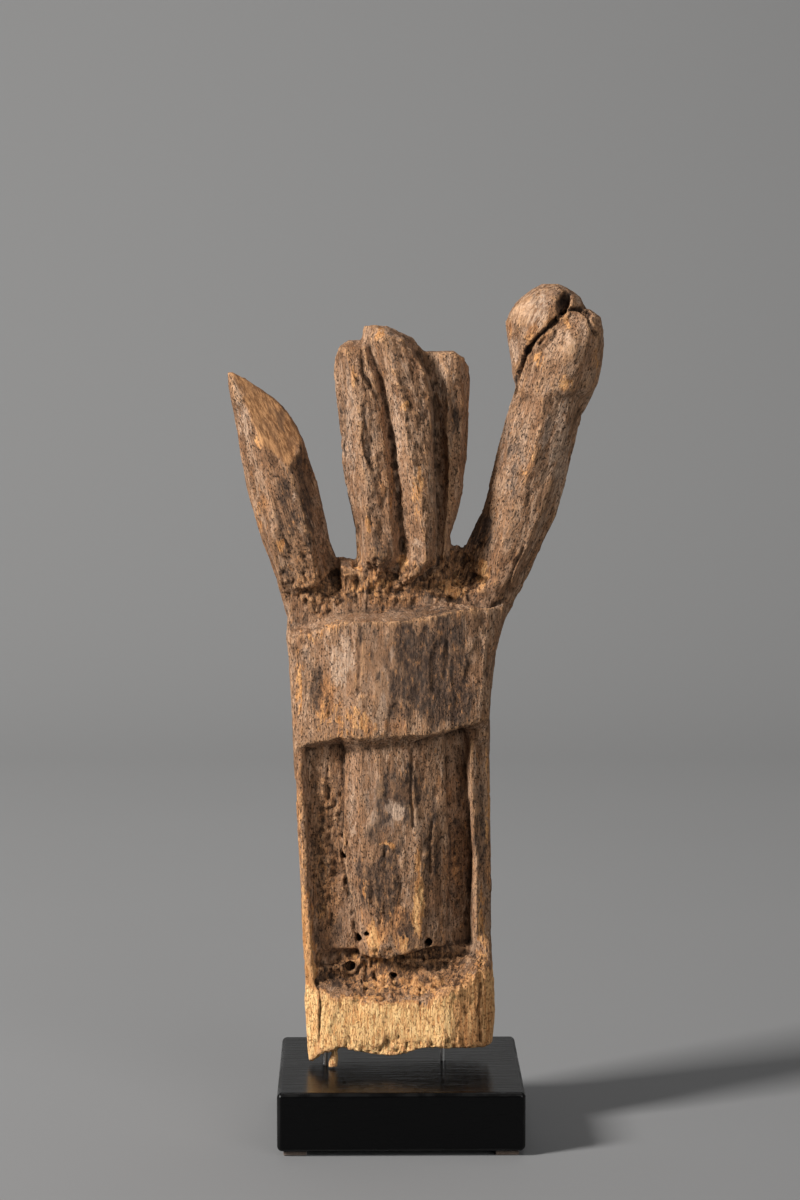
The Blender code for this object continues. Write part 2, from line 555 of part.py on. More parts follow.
def make_pins(material):
    """A straight steel pin at each place, from its hole in the plinth up into the figure."""
    low, high = GAP - PIN_HOLE_DEPTH, PIN_TOP
    pins = []
    for side, (x, y) in pin_places().items():
        name, middle = f"mounting_pin_{side}", (x, y, (low + high) / 2)
        pins.append(make_cylinder(name, middle, PIN_RADIUS, high - low, PIN_SIDES, material=material))
    return pins


def make_pad(name, x, y, material):
    """A felt pad with rounded corners, its top just under the plinth."""
    thickness = PAD_THICKNESS - GAP
    bm = bmesh.new()
    bmesh.ops.create_cube(bm, size=1.0)
    bmesh.ops.scale(bm, vec=(PAD_SIDE, PAD_SIDE, thickness), verts=bm.verts)
    upright = [edge for edge in bm.edges if edge.verts[0].co.z * edge.verts[1].co.z < 0]
    round_edges(bm, upright, PAD_CORNER_ROUND, PAD_CORNER_STEPS)
    bmesh.ops.translate(bm, verts=bm.verts, vec=(x, y, -PLINTH_HEIGHT - GAP - thickness / 2))
    return make_object(name, bm, material)


def make_pads(material):
    """Four felt pads, one under each corner of the plinth."""
    x = PLINTH_WIDTH / 2 - PAD_INSET - PAD_SIDE / 2
    y = PLINTH_DEPTH / 2 - PAD_INSET - PAD_SIDE / 2
    corners = {"front_left": (-x, -y), "front_right": (x, -y), "back_left": (-x, y), "back_right": (x, y)}
    return [make_pad(f"felt_pad_{corner}", *place, material) for corner, place in corners.items()]


def shade(obj):
    obj.data.shade_smooth()
    obj.data.set_sharp_from_angle(angle=math.radians(SHARP_ANGLE_DEG))


def set_on_origin(objects):
    """Parents everything to one empty, placed so that the bounding box's bottom centre is the origin."""
    points = [v.co for obj in objects for v in obj.data.vertices]
    low = Vector([min(p[i] for p in points) for i in range(3)])
    high = Vector([max(p[i] for p in points) for i in range(3)])
    root = bpy.data.objects.new("ritual_figure", None)
    bpy.context.scene.collection.objects.link(root)
    root.location = (-(low.x + high.x) / 2, -(low.y + high.y) / 2, -low.z)
    for obj in objects:
        obj.parent = root


def main():
    clear_scene()
    materials = {name: make_material(name) for name in LOOKS}
    objects = [make_figure(materials["weathered_wood"]), make_plinth(materials["black_lacquer"])]
    objects += make_pins(materials["steel"])
    objects += make_pads(materials["felt"])
    for obj in objects:
        shade(obj)
    set_on_origin(objects)


main()
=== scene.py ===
"""Looks of a carved wooden figure on a black lacquered plinth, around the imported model.

Tables give lengths in millimetres: x and y from the plinth's centre, heights from the plinth's top.
Colours are linear red, green and blue.
"""

import itertools
import json
import math

import bmesh
import bpy
import numpy as np
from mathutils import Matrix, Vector

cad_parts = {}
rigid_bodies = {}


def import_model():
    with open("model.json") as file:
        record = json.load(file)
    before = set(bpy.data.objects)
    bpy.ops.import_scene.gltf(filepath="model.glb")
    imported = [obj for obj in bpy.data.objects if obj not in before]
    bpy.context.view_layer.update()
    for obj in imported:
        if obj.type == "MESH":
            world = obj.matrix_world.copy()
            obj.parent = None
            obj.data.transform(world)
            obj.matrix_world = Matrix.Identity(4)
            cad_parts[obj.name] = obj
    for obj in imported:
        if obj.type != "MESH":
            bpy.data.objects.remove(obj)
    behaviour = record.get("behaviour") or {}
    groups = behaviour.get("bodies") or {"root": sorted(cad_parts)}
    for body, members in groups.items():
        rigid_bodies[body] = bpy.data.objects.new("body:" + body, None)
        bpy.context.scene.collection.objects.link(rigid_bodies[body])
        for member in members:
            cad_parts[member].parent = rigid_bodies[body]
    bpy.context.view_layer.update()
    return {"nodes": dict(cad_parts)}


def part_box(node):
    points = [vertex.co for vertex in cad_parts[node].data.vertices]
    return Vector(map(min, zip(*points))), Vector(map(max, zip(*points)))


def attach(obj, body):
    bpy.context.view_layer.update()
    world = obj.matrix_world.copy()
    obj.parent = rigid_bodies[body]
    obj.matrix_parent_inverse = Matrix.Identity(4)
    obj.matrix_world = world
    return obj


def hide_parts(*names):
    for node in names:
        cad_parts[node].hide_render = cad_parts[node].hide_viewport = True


MM = 0.001

# Camera and lights, in metres from the bottom centre of the plinth
CAMERA_PLACE = (-0.0153, -1.1728, 0.3323)
CAMERA_TILT_DEG = -6.2
CAMERA_TURN_DEG = -0.75
LENS = 93.0
SENSOR = 36.0
AIM = (0.0, 0.0, 0.17)
LIGHTS = {
    "key": ((-1.74, -0.90, 1.26), 0.45, 0.6, 96, (1, 0.985, 0.965)),
    "fill": ((1, -1.6, 0.8), 1.2, 1.2, 13, (0.98, 0.99, 1)),
    "top": ((0.1, 0.5, 1.6), 0.9, 0.7, 5, (1, 1, 1)),
}
WORLD_COLOUR = (0.5, 0.5, 0.5)
WORLD_STRENGTH = 0.16

# Sculpting of the wood: its voxels, rounds of smoothing and number of triangles
VOXEL = 0.5
FIRST_SMOOTHING = 1
TRIANGLES = 192000
MERGE_DISTANCE = 0.01

# The pins' places, and the distances and heights between which the wood's wear sets in around their bores
PIN_PLACES = ((-28.9, -1.5), (16.8, 5.1))
PIN_CLEAR = (1.6, 3.2)
PIN_CLEAR_HEIGHTS = (27.0, 32.0)

# Plinth's and pads' rounded edges, the pads' fuzzy surface, and the pins' sides, rounded ends (as a share
# of their radius) and the angle above which their edges stay sharp
PLINTH_EDGE = 2.0
PLINTH_EDGE_STEPS = 7
PAD_EDGE = 0.5
PAD_EDGE_STEPS = 3
PAD_VOXEL = 0.22
PAD_FUZZ = 0.09
PAD_INSET = 0.08
PIN_SIDES = 40
PIN_ROUNDING = 0.2
PIN_SHARP_DEG = 50

# How far a face is turned to the front where hewing, wear and paint set in and where they are full
HEWN_FRONT = (-0.1, 0.4)
WORN_FRONT = (0.0, 0.4)
PAINTED_FRONT = (-0.1, 0.3)

# How the grain leans: shift in x of each limb's axis by height, and the lines that part the limbs
LEFT_LEAN = ((186, 0), (200, -3), (268, -23.5))
RIGHT_LEAN = ((180, 0), (196, 4), (262, 25), (300, 37))
CLUSTER_LEAN = ((190, 0), (200, -0.6), (284, -10))
LEFT_GAP = ((190, -20), (225, -26), (250, -32), (270, -40))
RIGHT_GAP = ((190, 20), (225, 29), (250, 33), (300, 34))
GRAIN_SWAY = 1.2

# Waves of noise: their size along x, y and height, seed and octaves
WAVES = {
    "sway_in_x": ((22, 22, 60), 3, 2),
    "sway_in_y": ((22, 22, 60), 5, 2),
    "facets": ((15, 13, 42), 21, 2),
    "fibres": ((1.2, 1.2, 8), 25, 3),
    "pits": ((1.7, 1.7, 4), 27, 3),
    "hollows": ((6, 6, 4), 29, 4),
    "chips": ((3.5, 3.5, 4.5), 31, 3),
    "flakes": ((7, 7, 20), 33, 3),
    "crumbs": ((1.3, 1.3, 3), 35, 4),
    "lumps": ((4.2, 4.2, 2.2), 37, 4),
    "ledge_front": ((4, 4, 4), 47, 4),
    "ledge_round_back": ((3.5, 3.5, 30), 49, 4),
    "cracks": ((1.6, 1.6, 2.2), 51, 2),
    "ledge_right": ((4, 4, 9), 53, 3),
    "felt": ((0.9, 0.9, 0.7), 61, 2),
}

# Factors, shifts and word sizes that scramble a cell's place into a number
HASH_PLACE = (374761393, 668265263, 2246822519)
HASH_SEED = 3266489917
HASH_ROUNDS = ((15, 2246822519), (13, 3266489917))
HASH_LAST_SHIFT = 16
HASH_WORD = 0xFFFFFFFF
HASH_KEPT = 0xFFFFFF
SEED_STEP = 7.31


def along(line, at):
    """The values on a line of (position, value) points, held level past its ends."""
    places, values = zip(*line)
    return np.interp(at, places, values)


def smooth(value):
    value = np.clip(value, 0.0, 1.0)
    return value * value * (3.0 - 2.0 * value)


def step(value, low, high):
    return smooth((value - low) / (high - low))


def hashed(cell, seed):
    """A repeatable number from 0 to 1 for each whole-numbered cell."""
    word = np.uint64(HASH_WORD)
    number = sum(cell[:, axis].astype(np.uint64) * np.uint64(HASH_PLACE[axis]) for axis in range(3))
    number = (number + np.uint64(seed * HASH_SEED)) & word
    for shift, factor in HASH_ROUNDS:
        number = ((number ^ (number >> np.uint64(shift))) * np.uint64(factor)) & word
    number = number ^ (number >> np.uint64(HASH_LAST_SHIFT))
    return (number & np.uint64(HASH_KEPT)).astype(float) / HASH_KEPT


def noise(points, size, seed, octaves):
    """Smooth noise from -1 to 1 whose waves have the given size along each axis; each octave halves them."""
    total, strength, spread = np.zeros(len(points)), 1.0, 0.0
    for octave in range(octaves):
        scaled = points / np.array(size) * 2.0**octave + seed * SEED_STEP
        cell = np.floor(scaled).astype(np.int64)
        part = smooth(scaled - cell)
        value = np.zeros(len(points))
        for corner in itertools.product((0, 1), repeat=3):
            weight = np.prod(np.where(np.array(corner) == 1, part, 1.0 - part), axis=1)
            value += weight * hashed(cell + np.array(corner), seed + octave)
        total += strength * (2.0 * value - 1.0)
        spread += strength
        strength *= 0.5
    return total / spread


def cells(points, size, seed):
    """Distance to the nearest of scattered points, one in each cell of the given size."""
    scaled = points / np.array(size)
    home = np.floor(scaled).astype(np.int64)
    nearest = np.full(len(points), np.inf)
    for offset in itertools.product((-1, 0, 1), repeat=3):
        cell = home + np.array(offset)
        centre = cell + np.stack([hashed(cell, seed + axis) for axis in range(3)], axis=1)
        nearest = np.minimum(nearest, np.linalg.norm(scaled - centre, axis=1))
    return nearest


def grain_places(place):
    """Places with each limb's lean taken out, so that the grain runs straight up along the last axis."""
    x, height = place[:, 0], place[:, 2]
    lean = along(CLUSTER_LEAN, height)
    lean = np.where(x < along(LEFT_GAP, height), along(LEFT_LEAN, height), lean)
    lean = np.where(x > along(RIGHT_GAP, height), along(RIGHT_LEAN, height), lean)
    grain = place.copy()
    grain[:, 0] -= lean
    grain[:, 0] += GRAIN_SWAY * noise(place, *WAVES["sway_in_x"])
    grain[:, 1] += GRAIN_SWAY * noise(place, *WAVES["sway_in_y"])
    return grain


def rows(items, name, width, kind=float):
    """An array with a row for each item of a mesh."""
    flat = np.empty(len(items) * width, dtype=kind)
    items.foreach_get(name, flat)
    return flat.reshape(-1, width)


def mesh_places(mesh):
    return rows(mesh.vertices, "co", 3)


def mesh_edges(mesh):
    return rows(mesh.edges, "vertices", 2, np.int64)


def mesh_normals(mesh):
    return rows(mesh.vertex_normals, "vector", 3)


def set_mesh_places(mesh, places):
    mesh.vertices.foreach_set("co", places.ravel())
    mesh.update()


def spread_out(values, edges, rounds):
    """Values smoothed over the mesh: each moves halfway to its neighbours' mean."""
    values = values.reshape(len(values), -1).astype(float)
    count = np.maximum(np.bincount(edges.ravel(), minlength=len(values)), 1)[:, None]
    for _ in range(rounds):
        total = np.empty_like(values)
        for axis in range(values.shape[1]):
            column = values[:, axis]
            total[:, axis] = np.bincount(edges[:, 0], weights=column[edges[:, 1]], minlength=len(values))
            total[:, axis] += np.bincount(edges[:, 1], weights=column[edges[:, 0]], minlength=len(values))
        values = values + 0.5 * (total / count - values)
    return values


def evaluated_mesh(obj):
    graph = bpy.context.evaluated_depsgraph_get()
    return bpy.data.meshes.new_from_object(obj.evaluated_get(graph))


def use_modifier(obj, kind, **settings):
    """Adds a modifier, keeps what it makes as the object's own mesh and drops it."""
    modifier = obj.modifiers.new(kind, kind)
    for key, value in settings.items():
        setattr(modifier, key, value)
    made = evaluated_mesh(obj)
    obj.modifiers.remove(modifier)
    before, obj.data = obj.data, made
    bpy.data.meshes.remove(before)


def new_object(name, data):
    obj = bpy.data.objects.new(name, data)
    bpy.context.scene.collection.objects.link(obj)
    return obj


def mesh_from(bm, name):
    """The mesh that a bmesh holds; the bmesh is freed."""
    mesh = bpy.data.meshes.new(name)
    bm.to_mesh(mesh)
    bm.free()
    return mesh


def new_piece(name, mesh, node):
    """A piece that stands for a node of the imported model."""
    obj = new_object(name, mesh)
    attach(obj, "root")
    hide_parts(node)
    return obj


def finish_piece(obj, material):
    obj.data.shade_smooth()
    obj.data.materials.append(material)


def inside_box(place, node):
    """Places in metres, kept inside a node's box."""
    low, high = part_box(node)
    return np.clip(place, np.array(low), np.array(high))


def plinth_top():
    """The centre of the plinth's top, in metres."""
    low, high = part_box("plinth")
    return np.array(((low.x + high.x) / 2, (low.y + high.y) / 2, high.z))


def distance_to_line(place, points):
    """Distance in the front view from each place to a line of (x, height) points."""
    flat = place[:, (0, 2)]
    nearest = np.full(len(flat), np.inf)
    for a, b in zip(np.array(points[:-1], dtype=float), np.array(points[1:], dtype=float)):
        run = b - a
        share = np.clip(((flat - a) @ run) / (run @ run), 0.0, 1.0)
        nearest = np.minimum(nearest, np.linalg.norm(flat - (a + share[:, None] * run), axis=1))
    return nearest


# Front of the limbs, strung between creases and hollows that run up them, from left to right,
# each as (height, x, depth), where depths towards the front are negative
LEFT_LIMB_RELIEF = (
    ((256, -63.1, 1), (241, -60.5, 1), (226, -58.3, 1), (215, -56.1, 1), (201, -52.4, 1),
     (188, -47.9, 1.5), (177, -45.3, 1)),
    ((262, -61.4, -3.4), (255, -58.0, -5.4), (244, -53.8, -8.9), (231, -49.7, -10), (219, -48.2, -9.8),
     (212, -48.2, -9.4), (202, -48.3, -8.6), (191, -46.5, -7), (177, -43.6, -6)),
    ((246, -37.6, -5), (239, -38.0, -7), (234, -40.3, -8.6), (232, -41.8, -9.4), (223, -39.5, -10),
     (214, -36.6, -10), (204, -34.0, -9.4), (193, -31.4, -8), (177, -30.3, -6)),
    ((241, -36.2, 0), (236, -35.0, 0), (226, -32.9, 1), (215, -30.3, 1), (205, -28.1, 1.5),
     (196, -26.2, 2), (180, -25.1, 2)),
)
CLUSTER_RELIEF = (
    ((271, -24.1, 1), (260, -24.1, 1), (245, -23.0, 1), (230, -21.2, 1), (218, -18.9, 1), (207, -16.3, 1),
     (196, -15.1, 1)),
    ((275, -20.7, -8.5), (266, -18.0, -10.6), (257, -16.2, -11.4), (238, -14.3, -11.8), (227, -13.6, -12),
     (216, -13.2, -11.8), (202, -12.9, -11), (193, -12.9, -8)),
    ((275, -13.2, -8), (266, -10.6, -9), (257, -8.3, -9.2), (242, -6.1, -9.6), (227, -4.6, -9.8),
     (212, -3.5, -9.8), (200, -2.7, -9.5), (191, -2.7, -8)),
    ((277, -11.7, -5), (266, -7.9, -6), (257, -5.7, -5.4), (242, -3.4, -5), (226, -1.5, -5),
     (211, 0.0, -5), (200, 1.1, -5), (191, 1.5, -7)),
    ((284, -9.0, -8), (277, -5.7, -12), (268, -3.1, -14.4), (259, -0.1, -15.4), (253, 1.7, -16),
     (242, 2.5, -16), (235, 3.2, -16), (226, 5.8, -15.8), (216, 7.7, -15.6), (208, 8.9, -15),
     (201, 9.6, -13.5)),
    ((281, -0.8, -9), (276, 4.4, -10.5), (267, 9.3, -11.5), (259, 11.1, -12), (246, 11.5, -12.4),
     (227, 12.3, -12.6), (208, 12.7, -12.4), (200, 12.3, -11)),
    ((278, 3.7, -5), (272, 7.6, -2), (266, 11.0, -1.5), (258, 12.5, -1), (245, 12.9, -1), (226, 13.7, -1),
     (207, 14.1, -1), (199, 14.1, -2)),
    ((270, 11.3, -2.5), (262, 13.6, -2.5), (245, 15.5, -2), (226, 16.3, -2), (207, 15.2, -2),
     (198, 14.4, -2)),
    ((275, 15.0, -4), (268, 17.6, -6.6), (257, 17.6, -6.8), (242, 18.0, -6.6), (227, 18.4, -6.2),
     (211, 17.7, -5.4), (200, 16.6, -5)),
    ((272, 21.8, -4.5), (257, 23.7, -5), (242, 23.4, -5), (226, 22.7, -4.4), (215, 20.8, -3.8),
     (204, 18.9, -3.4)),
    ((266, 25.8, 2), (256, 26.2, 2), (241, 25.5, 2), (226, 24.8, 2), (215, 22.5, 2), (205, 20.2, 2)),
)
RIGHT_LIMB_RELIEF = (
    ((258, 44.4, 2), (253, 41.0, 2), (243, 38.8, 3), (232, 36.1, 4), (222, 33.1, 5), (213, 30.5, 6),
     (203, 26.7, 6), (195, 23.7, 6)),
    ((258, 45.2, -4), (252, 42.2, -5), (242, 40.4, -5.4), (232, 39.2, -5), (223, 38.6, -4.4),
     (213, 38.2, -3.6), (204, 36.0, -2.6), (194, 32.6, -2)),
    ((263, 52.6, -13.4), (253, 52.7, -12.6), (242, 51.6, -12), (233, 49.4, -11.4), (225, 46.5, -10.6),
     (215, 42.8, -9.6), (206, 39.5, -8.4), (196, 36.6, -7.2), (181, 34.9, -5.4)),
    ((262, 64.4, -10), (249, 63.0, -9), (236, 60.1, -8.6), (227, 57.2, -8.6), (219, 54.6, -8.6),
     (210, 51.6, -8.4), (200, 47.5, -7.6), (191, 43.5, -6.6), (181, 40.9, -5.6)),
    ((262, 74.5, 0), (256, 72.0, 1), (247, 67.5, 1), (237, 64.9, 1), (226, 61.9, 1), (218, 59.3, 1),
     (209, 56.0, 1.5), (199, 51.5, 2), (190, 47.3, 2), (180, 44.7, 2)),
)
RIGHT_RIM_RELIEF = (
    ((130, 25.4, -2.5), (104, 25.8, -3), (81, 27.4, -3.2), (50, 27.6, -3.4)),
    ((130, 26.8, -6), (104, 27.4, -6.4), (81, 29.0, -6.4), (50, 29.0, -6.4)),
    ((130, 33.6, -1.6), (104, 33.8, -1.8), (81, 34.2, -1.8), (50, 34.6, -2)),
    ((130, 34.8, 2), (104, 35.0, 2), (81, 35.3, 2), (50, 35.6, 2)),
)
LEFT_GROOVE_RELIEF = (
    ((124, -36.7, -9), (104, -35.9, -9), (66, -34.5, -9), (46, -33.5, -9)),
    ((124, -36.1, -3), (104, -35.3, -3), (66, -33.9, -2.8), (46, -32.9, -2.4)),
    ((124, -22.0, -2.8), (85, -22.6, -2.8), (72, -19.9, -2.8), (64, -18.0, -2.6), (46, -16.0, -2.2)),
    ((124, -21.5, -9), (85, -22.1, -9), (72, -19.4, -9), (64, -17.5, -9), (46, -15.5, -9)),
)
# Each relief with the heights where it starts and ends, and the length over which it fades there
RELIEFS = (
    (LEFT_LIMB_RELIEF, 182, 258, 6), (CLUSTER_RELIEF, 192, 280, 6),
    (RIGHT_LIMB_RELIEF, 184, 262, 6), (RIGHT_RIM_RELIEF, 48, 130, 6),
    (LEFT_GROOVE_RELIEF, 44, 125.5, 2),
)
# Distances from a relief's outer lines, positive inside them, over which its carving and its filling set in
CARVE_EDGE = (-4.0, -2.0)
FILL_EDGE = (0.0, 0.6)

# Small forms on the front: x, height, half width, half height, and how deep they are (negative stands out)
DENTS = (
    (-11.4, 238, 2.6, 7.5, 1.2), (-9.8, 266, 2.4, 8, -1.2), (-7.8, 197.5, 5.6, 7.6, -2.2),
    (-48.6, 210, 1.8, 3.4, 1.3), (1.2, 202, 2.2, 3.6, 2.4), (3.4, 247, 1.8, 12, 0.7),
    (48.6, 276, 2.4, 3.4, 1.6), (57.6, 285.6, 3.2, 2.2, 1.6), (61.4, 293, 2.8, 3.6, 2),
    (62.5, 276, 6, 7, -0.9), (74.5, 282, 3, 5, -1), (70.6, 272, 1.4, 8, 1),
    (-20, 161, 6.5, 12, 0.5), (11.5, 155, 17, 14, 0.4), (-3, 103, 6, 5, 0.4),
    (6, 42, 9, 3.5, -1.2), (16, 39, 9, 2.5, 1.6), (-24, 34, 8, 3, 1.4),
    (-36.5, 60, 1.5, 22, 0.6), (-30, 150, 4, 12, 0.6), (10.6, 108, 6, 17, 1),
)

# Share of its half sizes at which a dent has faded out
DENT_REACH = 1.15

# Fresh knife cut on the left limb: three points on its plane, its outline as (x, height), the x that it
# stays left of, the widths of its border as hewn and as painted, and how near its plane a place shows it
TIP_CUT = ((-64.8, -2.2, 267.5), (-42, -10.2, 231.5), (-37, -2.6, 243.5))
TIP_CUT_OUTLINE = (
    (-66, 268), (-63.1, 265.7), (-57.9, 254.9), (-53.8, 244.7), (-51.9, 238.7), (-49, 235),
    (-44.1, 233.1), (-41.8, 231.9), (-40.3, 234.2), (-38, 238.7), (-36, 245), (-45, 258),
    (-58, 269),
)
TIP_CUT_SIDE = -34.0
TIP_CUT_HEWN_BORDER = 1.0
TIP_CUT_PAINTED_BORDER = 0.8
TIP_CUT_NEAR = (0.6, 1.2)

# Least distance that is left between two lines of a relief
LEAST_GAP = 0.01


def strung(place, lines):
    """Depth of a surface strung between lines that run up the front, and how far inside them it is."""
    x, height = place[:, 0], place[:, 2]
    across = []
    for line in lines:
        heights, places, depths = zip(*sorted(line))
        across.append((np.interp(height, heights, places), np.interp(height, heights, depths)))
    depth = across[0][1].copy()
    for (x0, y0), (x1, y1) in zip(across, across[1:]):
        depth += (y1 - y0) * np.clip((x - x0) / np.maximum(x1 - x0, LEAST_GAP), 0.0, 1.0)
    return depth, np.minimum(x - across[0][0], across[-1][0] - x)


def inside_outline(place, outline, border):
    """1 well inside an outline in the front view, 0 outside it, and a slope `border` wide between."""
    x, height = place[:, 0], place[:, 2]
    crossings = np.zeros(len(place), dtype=bool)
    for (x0, h0), (x1, h1) in zip(outline, outline[1:] + outline[:1]):
        rise = h1 - h0 if h1 != h0 else 1.0
        crossings ^= ((h0 > height) != (h1 > height)) & (x < x0 + (x1 - x0) * (height - h0) / rise)
    reach = distance_to_line(place, outline + outline[:1])
    return smooth(0.5 + np.where(crossings, reach, -reach) / border)


def cut_plane():
    """A point on the knife cut's plane, and the direction that it faces, towards the front."""
    a, b, c = (np.array(point) for point in TIP_CUT)
    normal = np.cross(b - a, c - a)
    normal /= np.linalg.norm(normal)
    return a, normal * (-1.0 if normal[1] > 0 else 1.0)


def on_cut(place):
    """1 on the fresh knife cut and 0 away from it."""
    point, facing = cut_plane()
    near = 1.0 - step(np.abs((place - point) @ facing), *TIP_CUT_NEAR)
    return near * inside_outline(place, TIP_CUT_OUTLINE, TIP_CUT_PAINTED_BORDER)


def hew(place, normal):
    """Places with the front drawn to the reliefs, dented, and the knife cut laid flat."""
    place = place.copy()
    front = step(-normal[:, 1], *HEWN_FRONT)
    for lines, low, high, fade in RELIEFS:
        depth, margin = strung(place, lines)
        height = place[:, 2]
        share = step(height, low, low + fade) * (1.0 - step(height, high - fade, high))
        gap = depth - place[:, 1]
        carved = np.maximum(gap, 0.0) * step(margin, *CARVE_EDGE)
        filled = np.minimum(gap, 0.0) * step(margin, *FILL_EDGE) * front
        place[:, 1] += share * (carved + filled)
    for x, height, half_width, half_height, depth in DENTS:
        reach = np.hypot((place[:, 0] - x) / half_width, (place[:, 2] - height) / half_height)
        place[:, 1] += depth * front * smooth(DENT_REACH - reach)
    point, facing = cut_plane()
    over = (place - point) @ facing
    near = inside_outline(place, TIP_CUT_OUTLINE, TIP_CUT_HEWN_BORDER) * (place[:, 0] < TIP_CUT_SIDE)
    place -= (np.maximum(over, 0.0) * near)[:, None] * facing
    return place


# Cracks and cut lines on the front: half width, depth, and points as (x, height)
CRACKS = (
    (0.9, 2.6, ((43.2, 259), (44.5, 266.2), (46.3, 272.5), (48.6, 276.6), (51.6, 280.4), (54.9, 283.3),
                (58.3, 286.7), (60.9, 289.3))),
    (0.9, 2.4, ((60.9, 289.3), (63.5, 290.8), (67.2, 290.8), (71, 288.6))),
    (0.8, 1.6, ((70.2, 292), (70.6, 286), (73.6, 281))),
    (0.5, 0.8, ((12.1, 96.2), (11.4, 87.3), (11.8, 76.8))),
    (0.5, 0.6, ((-16.3, 168), (-15.9, 158), (-16.3, 147))),
    (0.6, 1.4, ((-31.8, 33.9), (-30.7, 24.2), (-31.5, 10.5))),
    (0.6, 1.3, ((31.2, 33.7), (30.1, 24), (30.9, 11.5))),
    (0.8, 1.4, ((68, 253), (65.7, 247.3), (63.9, 241.7), (62, 236.1))),
    (0.7, 0.9, ((46.8, 200.9), (44.1, 195.6), (41.5, 186.9), (40.4, 180.4))),
    (0.9, 1.2, ((-14.3, 275.5), (-13.9, 267.3), (-11.3, 262.4), (-8.7, 257.9))),
    (0.7, 0.9, ((-14.3, 243.3), (-12.8, 236.1), (-10.2, 230.5))),
    (0.8, 0.7, ((-14.8, 174.2), (-15.6, 162.9), (-16, 146.9))),
    (0.6, 0.6, ((17.6, 166.6), (18, 156))),
    (0.8, 1.3, ((40.4, 180.4), (34, 178.9), (26.4, 180.5), (18.9, 181.6))),
    (0.8, 0.9, ((18.6, 120), (19, 85.3), (18.7, 54.3))),
    (0.7, 0.5, ((25.4, 128), (26.2, 108.5), (26.7, 77.5), (25.2, 54.2))),
    (0.5, 0.5, ((-22.5, 121.7), (-21.7, 104.7), (-22.5, 85.4), (-19.5, 66), (-16.5, 48.5))),
    (0.8, 0.9, ((-0.1, 42.4), (11.4, 43), (27.5, 44.5))),
    (0.7, 0.8, ((-27.8, 117.1), (-27.5, 104.7))),
    (0.7, 0.9, ((4.6, 124), (4.4, 108), (5, 95))),
    (0.7, 0.9, ((-44.9, 207.9), (-42.7, 202.9), (-41.2, 201))),
)
# Share of its half width that a crack reaches, how far it wanders, and the depths over which its painted
# shade darkens it
CRACK_REACH = 1.2
CRACK_WANDER = 0.5
CRACK_SHADE = (0.3, 2.4)

# Front edge of the ledge, as (x, height): the wood below it is bare
LEDGE_EDGE = (
    (-38, 35), (-31.4, 31.1), (-23.8, 28.2), (0, 27.1), (11.4, 27.6), (17.1, 31.3), (22.9, 34.5),
    (29.8, 38.3), (37, 40),
)
# How bare the wood is there, over what height that sets in, how far its border sways at the front and round
# the back, how closely the sides follow the edge, and how much darker the right end is from where on
LEDGE_TAN = 1.3
LEDGE_BORDER = (-1.5, 1.5)
LEDGE_SWAY = 3.0
LEDGE_SWAY_ROUND_BACK = 1.8
LEDGE_SIDE_SHARE = 0.2
LEDGE_RIGHT_DARKER = 0.25
LEDGE_RIGHT = (17.0, 21.0)
LEDGE_RIGHT_SWAY = 2.0
